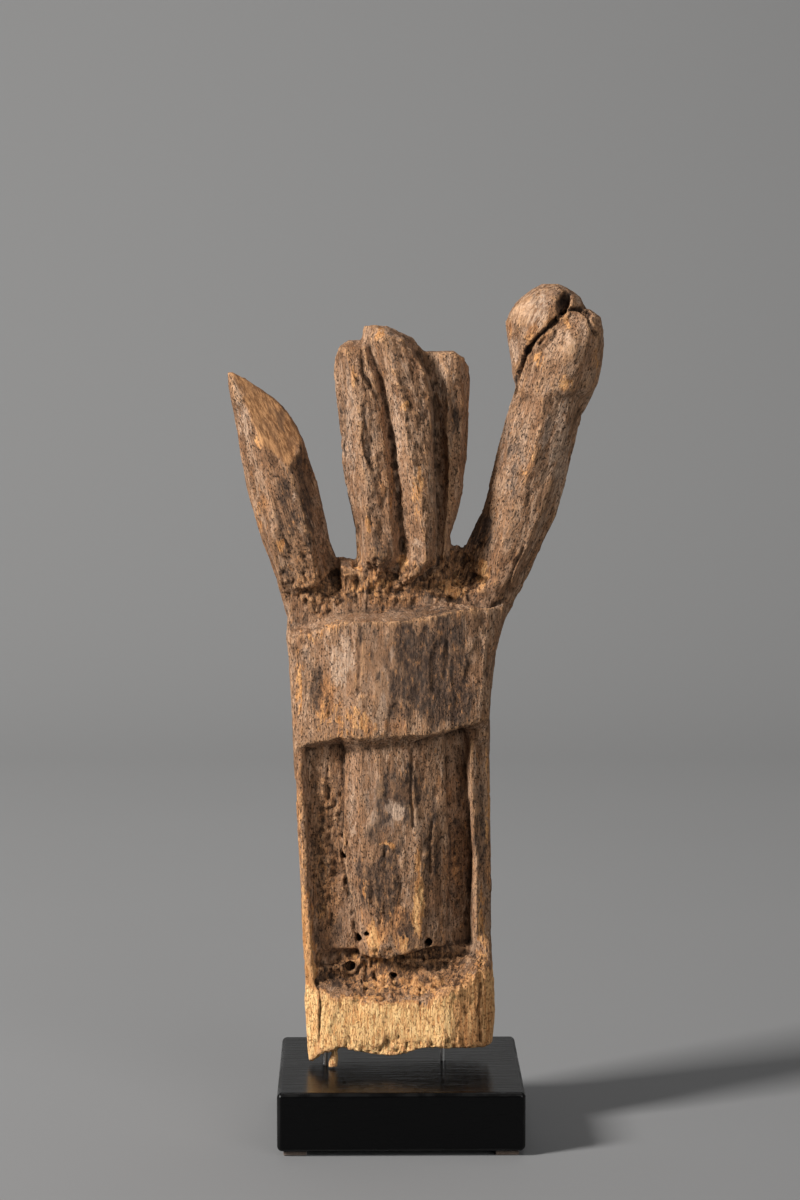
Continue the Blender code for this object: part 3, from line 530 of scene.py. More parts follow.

# Areas on the front, each with x, height, half width, half height and strength: first eroded wood, bare
# fresh wood, pale and dark wood, where one dark area is a painted shadow and two pale ones are painted
# highlights, then wood smooth from handling, warm reddish and dusty grey wood
ERODED = (
    (-26.5, 185, 17.5, 10, 1), (-0.1, 186, 26.7, 8.5, 1), (22.6, 191, 12, 11, 1),
    (-27.5, 85, 7.5, 40, 0.6), (22.5, 85, 4.2, 38.1, 0.4), (-0.1, 38, 36, 11, 1),
    (-0.1, 8, 36.2, 5, 0.7), (-5.8, 72, 9.1, 20, 0.35), (-30.3, 148, 6.9, 15.2, 0.4),
    (-37.8, 194, 9.9, 15, 0.5), (-0.1, 238, 26.7, 41.9, 0.25),
)
TAN = (
    (-36.4, 40, 4.6, 34, 1), (-37.8, 89, 1.9, 34.3, 0.4),
    (-10.5, 51, 4.6, 7.6, 1.1), (1.5, 50, 3.8, 7.5, 1.1), (6.8, 66, 3, 19.8, 1.1),
    (-14.2, 71, 1.5, 6.9, 0.7), (-3.1, 60, 1.1, 6.1, 0.6), (-4.2, 88, 3.4, 1.9, 0.85),
    (31.6, 43, 3, 32.4, 0.6), (33.1, 101, 1.1, 26.7, 0.6), (-29, 78, 2.7, 4.2, 0.5),
    (-30.6, 61, 3.8, 5, 0.5), (-11.6, 40, 12.2, 3, 0.6), (-17.1, 137, 9.9, 6.9, 0.6),
    (-38.6, 144, 1.9, 22.9, 0.7), (-29.5, 169, 9.1, 2.7, 0.45), (-10.6, 185, 11.4, 3.8, 0.5),
    (19.6, 186, 8.4, 5, 0.75), (31.3, 190, 3, 6.9, 0.85), (-55.1, 208, 3.4, 11.4, 0.5),
    (-52.5, 241, 4, 5.5, 0.5), (6, 33, 16, 4.5, 0.9), (-8, 31.5, 8, 3, 0.8),
    (-27, 139, 7, 7, 0.55), (-20, 131, 9, 3, 0.55),
    (-44.2, 202, 2.3, 4.2, 0.8), (-17.7, 263, 1.5, 5.3, 0.8), (-12.5, 210, 1.9, 4.2, 0.85),
    (-7.9, 281, 2.3, 3.8, 0.85), (1.8, 255, 1.9, 2.7, 0.8), (6.7, 222, 2.3, 13, 0.65),
    (1.1, 195, 3.4, 4.2, 0.9), (-3.1, 229, 1.9, 17.5, 0.5), (50.4, 235, 1.9, 2.7, 0.95),
    (48.1, 229, 2.3, 1.9, 0.85), (53.7, 257, 1.1, 2.3, 0.8), (55.8, 286, 3, 2.7, 1),
    (48.3, 278, 2.6, 4.4, 0.85), (62.5, 286, 2.3, 2.7, 0.9), (51, 272, 3.8, 3.4, 0.7),
    (61.5, 262, 2.7, 4.2, 0.6), (73.9, 271, 1.5, 5.3, 0.7), (-15.9, 196, 2.3, 6.9, 0.6),
)
PALE = (
    (48.6, 291, 10, 10, 0.6), (42.3, 275, 2.3, 9.1, 0.75), (62.9, 277, 4.2, 5.3, 0.8),
    (70, 284, 3.4, 5.7, 0.5), (45.1, 244, 4.2, 14.5, 0.35), (41, 225, 3, 11.4, 0.4),
    (65.5, 293, 2.7, 2.7, 0.75), (-61.6, 260, 2.3, 5.7, 0.95), (-58.3, 245, 3, 9.5, 0.55),
    (-18.8, 242, 3.8, 28.6, 0.4), (-0.8, 240, 2.7, 26.7, 0.8), (7.9, 202, 3.8, 3.8, 0.75),
    (15, 266, 3, 8.4, 0.65), (-22.5, 160.5, 7.6, 14, 0.65), (61, 232, 6, 32, 0.7),
    (12, 226, 3, 24, 0.35),
    (-10.5, 236, 3, 28, 0.35), (11.3, 179, 19.8, 1.9, 0.35),
    (34, 179, 7.6, 1.9, 0.5), (-1.6, 101.5, 6, 4.6, 0.75), (-11.1, 66, 1.1, 1.1, 0.9),
    # (-34, 209) and (-39.2, 218) are painted highlights along the left limb's crease
    (-34, 209, 2.3, 3.4, 0.6), (-39.2, 218, 1.9, 4.6, 0.5), (-18.3, 99, 2.3, 17.1, 0.5),
)
DARK = (
    (-38.4, 231, 2.7, 4.6, 0.55), (-37.8, 197, 2.3, 9.9, 0.6), (-43.8, 192, 3, 3.8, 0.6),
    (21.4, 254, 2.7, 9.1, 0.85), (-7.6, 198, 6.1, 7.2, 0.5), (11.2, 155, 23, 24, 1),
    (-14.4, 161, 1.5, 14.5, 0.6), (-31.1, 148, 5, 12.2, 0.5), (-29.5, 88, 4, 34, 0.45),
    (-44.5, 249, 2.2, 8.5, 0.9), (1, 108, 14.5, 15, 0.7), (-5.8, 74, 11, 19, 0.85),
    (-8, 92, 8, 7, 0.5), (2, 58, 5, 12, 0.8), (11.8, 85, 3.8, 30.5, 0.7),
    (22.5, 81, 3.8, 36.2, 0.45), (12.1, 43, 18.3, 3.4, 0.9), (-24, 37, 10, 7, 1.1),
    (60.1, 247, 3, 12, 0.4), (61, 293, 3.4, 4.6, 1.1), (3.7, 183, 36.2, 4.5, 0.4),
    # (31, 208, 4.6, 16, 0.95) is a painted shadow: the shade that the carving's middle casts on the right
    # limb's left side
    (-26.1, 196, 3.8, 4.6, 0.5), (18.4, 196, 8.4, 4.6, 0.6), (31, 208, 4.6, 16, 0.95),
    (-28.7, 51, 6.1, 11.4, 0.5), (31, 90, 4.5, 36, 0.5), (-21.5, 236, 3.5, 28, 0.6),
    (41, 226, 4, 34, 0.35), (-42.5, 215, 5, 22, 0.6), (14, 176, 22, 3, 0.5),
    (7, 162, 17, 14, 1.15), (18, 146, 15, 14, 1.15), (-36, 222, 5.5, 26, 0.65),
    (-21.5, 250, 3, 16, 0.5), (0, 142, 8, 7, 0.5),
)
SMOOTH = (
    (-2, 154, 36, 23, 1), (-3, 102, 17, 26, 0.9), (49, 291, 10.5, 10.5, 1.3),
    (63.5, 277, 5.5, 7, 0.9), (33, 90, 2.5, 34, 0.6), (18, 250, 6, 20, 0.4),
)
WARM = (
    (-28, 144, 11, 13, 0.75), (-8, 134, 18, 6, 0.7), (-38, 92, 3, 60, 0.9),
    (33, 80, 3, 46, 0.8), (-4, 56, 16, 20, 0.9), (0, 188, 42, 9, 0.5),
    (6, 35, 28, 6, 0.9), (-28, 70, 7, 30, 0.8), (51.5, 279, 6, 6.5, 1.2),
    (40.5, 283, 2.4, 8, 1.1), (59, 288.5, 4, 3, 1),
    (-50, 218, 4, 14, 0.6), (48, 233, 4, 12, 0.5), (33, 170, 3, 10, 0.6),
    (20.5, 85, 6, 40, 0.5), (-6, 240, 3, 30, 0.4), (8, 215, 4, 20, 0.5),
)
GREY = (
    (-19, 240, 5, 36, 0.8), (42, 232, 7, 34, 0.7), (54, 245, 5, 24, 0.6),
    (50, 292, 9, 8, 0.5), (17, 255, 6, 22, 0.7), (-1, 262, 4, 16, 0.5),
    (-60, 250, 4, 14, 0.6), (-36, 158, 4, 16, 0.6), (-4, 116, 12, 8, 0.5),
    (-10, 172, 20, 5, 0.4), (8, 155, 25, 20, 0.5), (-4, 100, 15, 24, 0.7),
    (61, 230, 5, 36, 0.9), (-12, 245, 4, 26, 0.6),
)
# Seeds of the areas, and over what share of their sizes their strength sets in
AREA_SEEDS = {"eroded": 11, "tan": 41, "pale": 43, "dark": 45, "smooth": 61, "warm": 63, "grey": 65}
ERODED_BORDER = 0.3
TONE_BORDER = 0.6
ZONE_BORDER = 0.9

# How ragged the areas' borders are, how far they wander in x and height, and the waves of both
RAGGED = 0.7
RAGGED_WAVES = (3, 3, 9)
WANDER = (2.0, 5.0)
WANDER_WAVES = (7, 7, 18)

# Values of the flakes' waves between which flakes are lost
FLAKED = (0.02, 0.12)

# Layers of wear: how far each moves any wood, wood that isn't handled and eroded wood, the waves that it
# has, whether they follow the grain, and for hollows the values of the waves between which they set in
WEAR_LAYERS = (
    (-0.4, 0, 0, "flakes", True, FLAKED),
    (0, 0.28, 0.3, "fibres", True, None),
    (0, 0.15, 0.8, "crumbs", True, None),
    (0.1, 0, 1, "lumps", False, None),
    (0, -0.3, -0.7, "pits", True, (0.15, 0.5)),
    (0, 0, -1.2, "hollows", False, (0, 0.3)),
)

# Hewn surface: depth of its facets, then depth, level, size and seed of its shallow scallops
FACET_DEPTH = 0.35
SCALLOP_DEPTH = 0.4
SCALLOP_LEVEL = 0.45
SCALLOP_SIZE = (6, 8, 22)
SCALLOP_SEED = 23

# How much of the wear the knife cut and handled wood are spared
CUT_SPARED = 0.85
HANDLED_SPARED = 0.75

# Worn edges: rounds of smoothing that find them, how far they may stand out, and how much of that wears
# off, everywhere and where a chip has gone
EDGE_ROUNDS = 16
EDGE_KEPT = 0.15
EDGE_WEAR = 0.2
CHIP_WEAR = 1.2
CHIPPED = (-0.1, 0.35)

# Painted edges and hollows: rounds of smoothing that find them, and how far they stand out or lie in; the
# hollows get painted shade
FINE_ROUNDS = 6
BROAD_ROUNDS = 20
FINE_EDGE = (0.08, 0.4)
FINE_HOLLOW = (0.06, 0.35)
BROAD_EDGE = (0.35, 1.0)
BROAD_EDGE_SHARE = 0.6


def blots(place, table, seed, border):
    """How far each place lies inside the table's ellipses, from 0 to their strength, with ragged borders."""
    ragged = RAGGED * noise(place, RAGGED_WAVES, seed, 4)
    moved = place.copy()
    moved[:, 0] += WANDER[0] * noise(place, WANDER_WAVES, seed + 1, 2)
    moved[:, 2] += WANDER[1] * noise(place, WANDER_WAVES, seed + 3, 2)
    total = np.zeros(len(place))
    for x, height, half_width, half_height, strength in table:
        reach = np.hypot((moved[:, 0] - x) / half_width, (moved[:, 2] - height) / half_height)
        total = np.maximum(total, strength * smooth((1.0 + ragged - reach) / border))
    return total


def crack_depth(place):
    """How deep the cracks are at each place, in mm."""
    depth = np.zeros(len(place))
    wander = CRACK_WANDER * noise(place, *WAVES["cracks"])
    for half_width, deep, points in CRACKS:
        reach = distance_to_line(place, points) + wander
        depth = np.maximum(depth, deep * np.clip(CRACK_REACH - reach / half_width, 0.0, 1.0))
    return depth


def wear(place, normal, edges):
    """How far the surface moves out at each place, in mm: facets, wear layers, worn edges and cracks."""
    grain = grain_places(place)
    front = step(-normal[:, 1], *WORN_FRONT)
    eroded = blots(place, ERODED, AREA_SEEDS["eroded"], ERODED_BORDER) * front
    whole = 1.0 - CUT_SPARED * on_cut(place)
    rough = 1.0 - HANDLED_SPARED * blots(place, SMOOTH, AREA_SEEDS["smooth"], TONE_BORDER) * front
    softened = spread_out(place, edges, EDGE_ROUNDS)
    bulge = np.sum((place - softened) * normal, axis=1)
    move = FACET_DEPTH * noise(grain, *WAVES["facets"])
    move += SCALLOP_DEPTH * (SCALLOP_LEVEL - cells(grain, SCALLOP_SIZE, SCALLOP_SEED))
    for anywhere, on_rough, on_eroded, waves, with_grain, hollow in WEAR_LAYERS:
        layer = noise(grain if with_grain else place, *WAVES[waves])
        if hollow:
            layer = step(layer, *hollow)
        move += (anywhere + on_rough * rough + on_eroded * eroded) * layer
    chipped = step(noise(place, *WAVES["chips"]), *CHIPPED)
    move -= np.clip(bulge - EDGE_KEPT, 0.0, 1.0) * (EDGE_WEAR + CHIP_WEAR * chipped)
    return move * whole - crack_depth(place) * front


def pin_room(place):
    """0 close to a pin's bore and 1 away from it."""
    room = np.ones(len(place))
    for x, y in PIN_PLACES:
        reach = np.hypot(place[:, 0] - x, place[:, 1] - y)
        room = np.minimum(room, step(reach, *PIN_CLEAR) + step(place[:, 2], *PIN_CLEAR_HEIGHTS))
    return np.clip(room, 0.0, 1.0)


def add_attribute(mesh, name, values):
    attribute = mesh.attributes.new(name, "FLOAT_VECTOR", "POINT")
    attribute.data.foreach_set("vector", values.astype(np.float32).ravel())


def stands_out(place, softened, normal, edges, rounds):
    """How far each place stands out from the softened surface, in mm, evened out over its neighbours."""
    return spread_out(np.sum((place - softened) * normal, axis=1), edges, rounds)[:, 0]


def bare_at_ledge(place, grain, front):
    """How bare the wood is below the ledge's edge, from 0 to LEDGE_TAN."""
    below = along(LEDGE_EDGE, place[:, 0]) - place[:, 2] + LEDGE_SWAY * noise(place, *WAVES["ledge_front"])
    below = below * (LEDGE_SIDE_SHARE + (1.0 - LEDGE_SIDE_SHARE) * front)
    below = below + (1.0 - front) * LEDGE_SWAY_ROUND_BACK * noise(grain, *WAVES["ledge_round_back"])
    to_right = step(place[:, 0] + LEDGE_RIGHT_SWAY * noise(place, *WAVES["ledge_right"]), *LEDGE_RIGHT)
    return (LEDGE_TAN - LEDGE_RIGHT_DARKER * to_right * front) * step(below, *LEDGE_BORDER)


def areas(place, front, tables, border):
    """The blots of each named table, on the front only."""
    return [blots(place, table, AREA_SEEDS[name], border) * front for name, table in tables]


def paint(mesh, origin):
    """Gives the wood's mesh what its material reads: grain places, tones, form, marks and zones."""
    place = (mesh_places(mesh) - origin) / MM
    edges, normal = mesh_edges(mesh), mesh_normals(mesh)
    front = step(-normal[:, 1], *PAINTED_FRONT)
    grain = grain_places(place)
    softened = spread_out(place, edges, FINE_ROUNDS)
    fine = stands_out(place, softened, normal, edges, 1)
    softened = spread_out(softened, edges, BROAD_ROUNDS)
    broad = stands_out(place, softened, normal, edges, 2)
    edge = np.maximum(step(fine, *FINE_EDGE), BROAD_EDGE_SHARE * step(broad, *BROAD_EDGE))
    # hollows of the surface, which the material darkens as painted shade
    hollow_shade = step(-fine, *FINE_HOLLOW)
    eroded = blots(place, ERODED, AREA_SEEDS["eroded"], ERODED_BORDER) * front
    flaked = step(noise(grain, *WAVES["flakes"]), *FLAKED)
    # cracks darkened by their depth, as painted shade
    crack_shade = step(crack_depth(place), *CRACK_SHADE) * front
    tones = areas(place, front, (("tan", TAN), ("pale", PALE), ("dark", DARK)), TONE_BORDER)
    tones[0] = np.maximum(tones[0], bare_at_ledge(place, grain, front))
    zones = areas(place, front, (("smooth", SMOOTH), ("warm", WARM), ("grey", GREY)), ZONE_BORDER)
    add_attribute(mesh, "grain", grain)
    add_attribute(mesh, "tones", np.stack(tones, axis=1))
    add_attribute(mesh, "form", np.stack((hollow_shade, edge, eroded), axis=1))
    add_attribute(mesh, "marks", np.stack((on_cut(place), crack_shade, flaked), axis=1))
    add_attribute(mesh, "zones", np.stack(zones, axis=1))


def merged_copy(source, name):
    """A copy of a mesh with its doubled points merged."""
    bm = bmesh.new()
    bm.from_mesh(source)
    bmesh.ops.remove_doubles(bm, verts=bm.verts, dist=MERGE_DISTANCE * MM)
    return mesh_from(bm, name)


def make_wood(source, origin, material):
    """The carving with its hewn and weathered surface."""
    obj = new_piece("figure_wood", merged_copy(source, "figure_wood"), "carved_figure")
    use_modifier(obj, "REMESH", mode="VOXEL", voxel_size=VOXEL * MM)
    place = (mesh_places(obj.data) - origin) / MM
    set_mesh_places(obj.data, hew(place, mesh_normals(obj.data)) * MM + origin)
    use_modifier(obj, "REMESH", mode="VOXEL", voxel_size=VOXEL * MM)
    edges = mesh_edges(obj.data)
    place = spread_out((mesh_places(obj.data) - origin) / MM, edges, FIRST_SMOOTHING)
    set_mesh_places(obj.data, place * MM + origin)
    normal = mesh_normals(obj.data)
    move = wear(place, normal, edges) * pin_room(place)
    place = (place + normal * move[:, None]) * MM + origin
    set_mesh_places(obj.data, inside_box(place, "carved_figure"))
    triangles = sum(len(face.vertices) - 2 for face in obj.data.polygons)
    use_modifier(obj, "DECIMATE", ratio=min(1.0, TRIANGLES / triangles))
    paint(obj.data, origin)
    finish_piece(obj, material)


# Sockets of a colour Mix node, and the values between which most of a noise pattern lies
MIX_INPUTS = (0, 6, 7)
MIX_RESULT = 2
NOISE_SPAN = (0.3, 0.7)

# Noise patterns in the wood: waves in a millimetre along x, y and the grain, detail, roughness and
# distortion, then the other materials' with their waves in a metre
WOOD_PATTERNS = {
    "broad": ((0.06, 0.06, 0.025), 3),
    "patch": ((0.3, 0.3, 0.1), 5, 0.68),
    "mottle": ((0.2, 0.2, 0.07), 5, 0.7, 0.4),
    "blotch": ((0.8, 0.8, 0.3), 4, 0.65),
    "fibre": ((2.1, 2.1, 0.16), 4, 0.65),
    "streak": ((0.9, 0.9, 0.035), 4, 0.65),
    "speck": ((1.7, 1.7, 0.9), 3, 0.65),
    "crumb": ((3.6, 3.6, 2.2), 3, 0.7),
    "dashes": ((2.8, 2.8, 0.45), 3, 0.6),
}
LACQUER_BRUSH = ((50, 800, 800), 4, 0.6)
LACQUER_SPECKS = ((1500, 1500, 1500), 2)
LACQUER_WAVE = ((90, 90, 90), 2)
STEEL_LINES = ((300, 300, 9000), 2)
FELT_FUZZ = ((2600, 2600, 2600), 4, 0.7)
FELT_CLUMPS = ((500, 500, 500), 2)
PAPER_TOOTH = ((700, 700, 700), 3)
PAPER_MOTTLE = ((3, 3, 3), 2)
# What each attribute of the wood's mesh holds
PAINTED = {
    "tones": ("tan", "pale", "dark"),
    "form": ("hollow_shade", "edge", "eroded"),
    "marks": ("cut", "crack_shade", "flaked"),
    "zones": ("handled", "warm", "grey"),
}
# Pairs of tints, with the values of a pattern at which the dark one ends and the light one is full
TWO_TONES = {
    "brown": (0.35, 0.65, (0.19, 0.106, 0.06), (0.335, 0.2, 0.119)),
    "rust": (0.35, 0.65, (0.225, 0.098, 0.04), (0.52, 0.262, 0.112)),
    "dust": (0.35, 0.65, (0.15, 0.113, 0.092), (0.44, 0.325, 0.248)),
    # this dark pair tints soot, and also one painted shadow
    "soot_and_shadow": (0.4, 0.6, (0.027, 0.02, 0.018), (0.125, 0.074, 0.047)),
    "ragged": (0.4, 0.56, (0.06, 0.03, 0.016), (0.4, 0.2, 0.085)),
    "raw": (0.35, 0.62, (0.36, 0.165, 0.058), (0.6, 0.335, 0.15)),
    "ledge": (0.32, 0.62, (0.62, 0.3, 0.11), (1, 0.59, 0.285)),
    "cut": (0.38, 0.6, (0.2, 0.09, 0.036), (0.52, 0.265, 0.115)),
    "steel": (*NOISE_SPAN, (0.6, 0.59, 0.57), (0.82, 0.81, 0.79)),
    "felt": (*NOISE_SPAN, (0.055, 0.036, 0.026), (0.17, 0.12, 0.09)),
    # the backdrop's two greys lay a painted light falloff from front to back
    "paper_and_painted_falloff": (-0.3, 1.3, (0.185, 0.185, 0.186), (0.272, 0.272, 0.272)),
}
# Layers of colour: the values at which each starts and is full, the most that it covers, and its tint,
# which comes from the pair of that name where none is given
LAYERS = {
    "film": (0.46, 0.58, 0.75, (0.46, 0.308, 0.208)),
    "stain": (0.4, 0.3, 0.7, (0.085, 0.063, 0.053)),
    "ochre": (0.6, 0.68, 0.5, (0.4, 0.19, 0.078)),
    "rust": (0.3, 0.9, 0.75),
    "dust": (0.3, 0.9, 0.7),
    # this dark layer lays soot, and also one painted shadow from the dark areas
    "soot_and_shadow": (0.15, 0.75, 0.9),
    "ragged": (0.2, 1, 0.65),
    "ledge_patch": (0.5, 0.66, 0.7, (0.6, 0.29, 0.11)),
    "ledge_dash": (0.58, 0.68, 0.7, (0.23, 0.095, 0.035)),
    # the pale layer: pale patina, and two painted highlights on the left limb's crease
    "pale": (0.25, 0.8, 0.85, (0.49, 0.35, 0.255)),
    "spot": (0.6, 0.68, 0.5, (0.44, 0.205, 0.078)),
    "cut_patch": (0.44, 0.6, 0.3, (0.24, 0.135, 0.075)),
    "cut_fibre": (0.6, 0.3, 0.55, (0.1, 0.042, 0.018)),
    "cut_stain": (0.3, 0.9, 0.6, (0.1, 0.052, 0.03)),
    "lacquer_dust": (0.7, 0.8, 0.12, (0.05, 0.048, 0.045)),
    "felt_clump": (*NOISE_SPAN, 0.4, (0.07, 0.05, 0.04)),
}
# Ramps: the values from and to which each runs, and what they become where that isn't 0 and 1
RAMPS = {
    "ledge": (1, 1.2),
    "bare": (0.3, 0.72),
    "cut_lit": (0.35, 0.6),
    "rubbed": (0.3, 0.6, 0.35, 0.9),
    "lines": (0.3, 0.6, 0.65, 0),
    "pores": (0.56, 0.65, 0, 0.85),
    "pits": (0.54, 0.7, 0, -1.1),
    "grit": (0.35, 0.65, 0, 0.5),
    "stain_on_bare": (0, 1, 1, 0.6),
    "stain_on_handled": (0, 1, 1, 0.4),
    "grit_on_handled": (0, 1, 1, 0.5),
    "bump_where_calm": (0, 1, 1, 0.35),
    # where the lacquer's edges are painted lighter, as wear and as a painted highlight
    "lacquer_edge": (0.98, 0.85),
    "lacquer_edge_wear_and_highlight_breaks": (0.35, 0.6, 0.25, 1),
}
# How much shows of marks and wear, how far areas' borders fray, and heights of the patterns in the bump
SHARES = {"flaked": 0.35, "hollow_shade": 0.75, "crack_shade": 0.92, "calm": 0.6, "edge_wear_and_highlight": 0.25, "worn_rough": 0.2}
FRAYING = {"warm": 0.45, "grey": 0.4, "dark": 0.4, "tan": 0.45, "pale": 0.35}
BUMPS = {"fibre": 0.9, "blotch": 0.9, "crumb": 0.35}
WOOD_BUMP = 0.0008
WOOD_ROUGHNESS = (0.95, 0.75)
TINTS = {
    "flaked": (0.215, 0.105, 0.052), "rubbed": (0.52, 0.3, 0.155), "cut_lit": (0.64, 0.335, 0.145),
    "line": (0.044, 0.027, 0.018), "bare_line": (0.22, 0.085, 0.03), "pore": (0.032, 0.021, 0.016),
    # the hollows' tint is painted shade
    "bare_pore": (0.15, 0.055, 0.02), "grit": (1, 0.84, 0.68), "hollow_shade": (0.03, 0.018, 0.012),
    # the cracks' near-black tint is painted shade
    "crack_shade": (0.012, 0.007, 0.006), "lacquer": (0.0014, 0.0014, 0.0015),
    # the lacquer's edge tint: wear and a painted highlight
    "lacquer_edge_wear_and_highlight": (0.025, 0.024, 0.023),
}


class Graph:
    """A material's node tree with short calls for the nodes used here."""

    def __init__(self, name):
        self.material = bpy.data.materials.new(name)
        self.material.use_nodes = True
        self.tree = self.material.node_tree
        self.shader = self.tree.nodes["Principled BSDF"]

    def node(self, kind, inputs=None, **settings):
        made = self.tree.nodes.new(kind)
        for key, value in settings.items():
            setattr(made, key, value)
        for key, value in (inputs or {}).items():
            self.put(made.inputs[key], value)
        return made

    def put(self, socket, value):
        if isinstance(value, bpy.types.NodeSocket):
            self.tree.links.new(value, socket)
        elif socket.type == "RGBA":
            socket.default_value = (*value, 1.0)
        else:
            socket.default_value = value

    def set_shader(self, **inputs):
        for key, value in inputs.items():
            self.put(self.shader.inputs[key.replace("_", " ")], value)

    def attribute(self, name):
        return self.node("ShaderNodeAttribute", attribute_name=name).outputs["Vector"]

    def places(self):
        return self.node("ShaderNodeTexCoord").outputs["Object"]

    def parts(self, vector):
        return self.node("ShaderNodeSeparateXYZ", {0: vector}).outputs

    def stretched(self, vector, scale):
        return self.node("ShaderNodeVectorMath", {0: vector, 1: scale}, operation="MULTIPLY").outputs[0]

    def noise(self, vector, scale, detail, roughness=0.55, distortion=0.0):
        inputs = {"Vector": self.stretched(vector, scale), "Scale": 1.0, "Detail": detail,
                  "Roughness": roughness, "Distortion": distortion}
        return self.node("ShaderNodeTexNoise", inputs).outputs[0]

    def ramp(self, value, low, high, to_low=0.0, to_high=1.0):
        inputs = {"Value": value, "From Min": low, "From Max": high, "To Min": to_low, "To Max": to_high}
        return self.node("ShaderNodeMapRange", inputs, interpolation_type="SMOOTHSTEP").outputs[0]

    def spread(self, pattern, low, high):
        """A noise pattern spread over the values from low to high."""
        return self.ramp(pattern, *NOISE_SPAN, low, high)

    def math(self, operation, a, b=0.0):
        return self.node("ShaderNodeMath", {0: a, 1: b}, operation=operation).outputs[0]

    def times(self, a, b):
        return self.math("MULTIPLY", a, b)

    def sum(self, first, *others):
        for other in others:
            first = self.math("ADD", first, other)
        return first

    def frayed(self, area, name, pattern):
        """A painted area whose border a noise pattern breaks up."""
        return self.sum(area[name], self.spread(pattern, -FRAYING[name], FRAYING[name]))

    def mix(self, share, a, b, blend="MIX"):
        made = self.node("ShaderNodeMix", data_type="RGBA", blend_type=blend)
        for socket, value in zip(MIX_INPUTS, (share, a, b)):
            self.put(made.inputs[socket], value)
        return made.outputs[MIX_RESULT]

    def two_tone(self, pattern, low, high, dark, light):
        return self.mix(self.ramp(pattern, low, high), dark, light)

    def lay(self, under, value, low, high, most, tint):
        """A tint laid over a colour where a value goes from low to high, covering the given share at most."""
        return self.mix(self.ramp(value, low, high, 0.0, most), under, tint)

    def mark(self, under, area, name):
        """The tint of what the mesh marks, laid over a colour."""
        return self.mix(self.times(area[name], SHARES[name]), under, TINTS[name])

    def bump(self, height, strength, distance):
        inputs = {"Height": height, "Strength": strength, "Distance": distance}
        return self.node("ShaderNodeBump", inputs).outputs[0]


def weathered_colour(graph, pattern, area):
    """The old surface: brown with a grey film, stains, rust, dust, soot with one painted shadow among it, and
    eroded wood.
    """
    colour = graph.two_tone(pattern["broad"], *TWO_TONES["brown"])
    colour = graph.lay(colour, pattern["patch"], *LAYERS["film"])
    colour = graph.lay(colour, pattern["mottle"], *LAYERS["stain"])
    colour = graph.lay(colour, pattern["mottle"], *LAYERS["ochre"])
    colour = graph.mark(colour, area, "flaked")
    # the dark areas' layer is soot, with one painted shadow among them
    covers = {"rust": graph.frayed(area, "warm", pattern["mottle"]),
              "dust": graph.frayed(area, "grey", pattern["patch"]),
              "soot_and_shadow": area["darkened"], "ragged": area["eroded"]}
    for name, where in covers.items():
        tint = graph.two_tone(pattern["blotch"], *TWO_TONES[name])
        colour = graph.lay(colour, where, *LAYERS[name], tint)
    return colour


def bare_colour(graph, pattern, area):
    """Wood whose old surface is gone, brightest below the ledge."""
    raw = graph.two_tone(pattern["streak"], *TWO_TONES["raw"])
    ledge = graph.two_tone(pattern["fibre"], *TWO_TONES["ledge"])
    ledge = graph.lay(ledge, pattern["mottle"], *LAYERS["ledge_patch"])
    ledge = graph.lay(ledge, pattern["dashes"], *LAYERS["ledge_dash"])
    return graph.mix(graph.ramp(area["tan"], *RAMPS["ledge"]), raw, ledge)


def cut_colour(graph, pattern, area):
    """Wood on the fresh knife cut."""
    colour = graph.two_tone(pattern["streak"], *TWO_TONES["cut"])
    colour = graph.lay(colour, pattern["patch"], *LAYERS["cut_patch"])
    colour = graph.lay(colour, pattern["fibre"], *LAYERS["cut_fibre"])
    lit = graph.times(graph.ramp(pattern["streak"], *RAMPS["cut_lit"]), area["tan"])
    colour = graph.mix(lit, colour, TINTS["cut_lit"])
    return graph.lay(colour, area["darkened"], *LAYERS["cut_stain"])


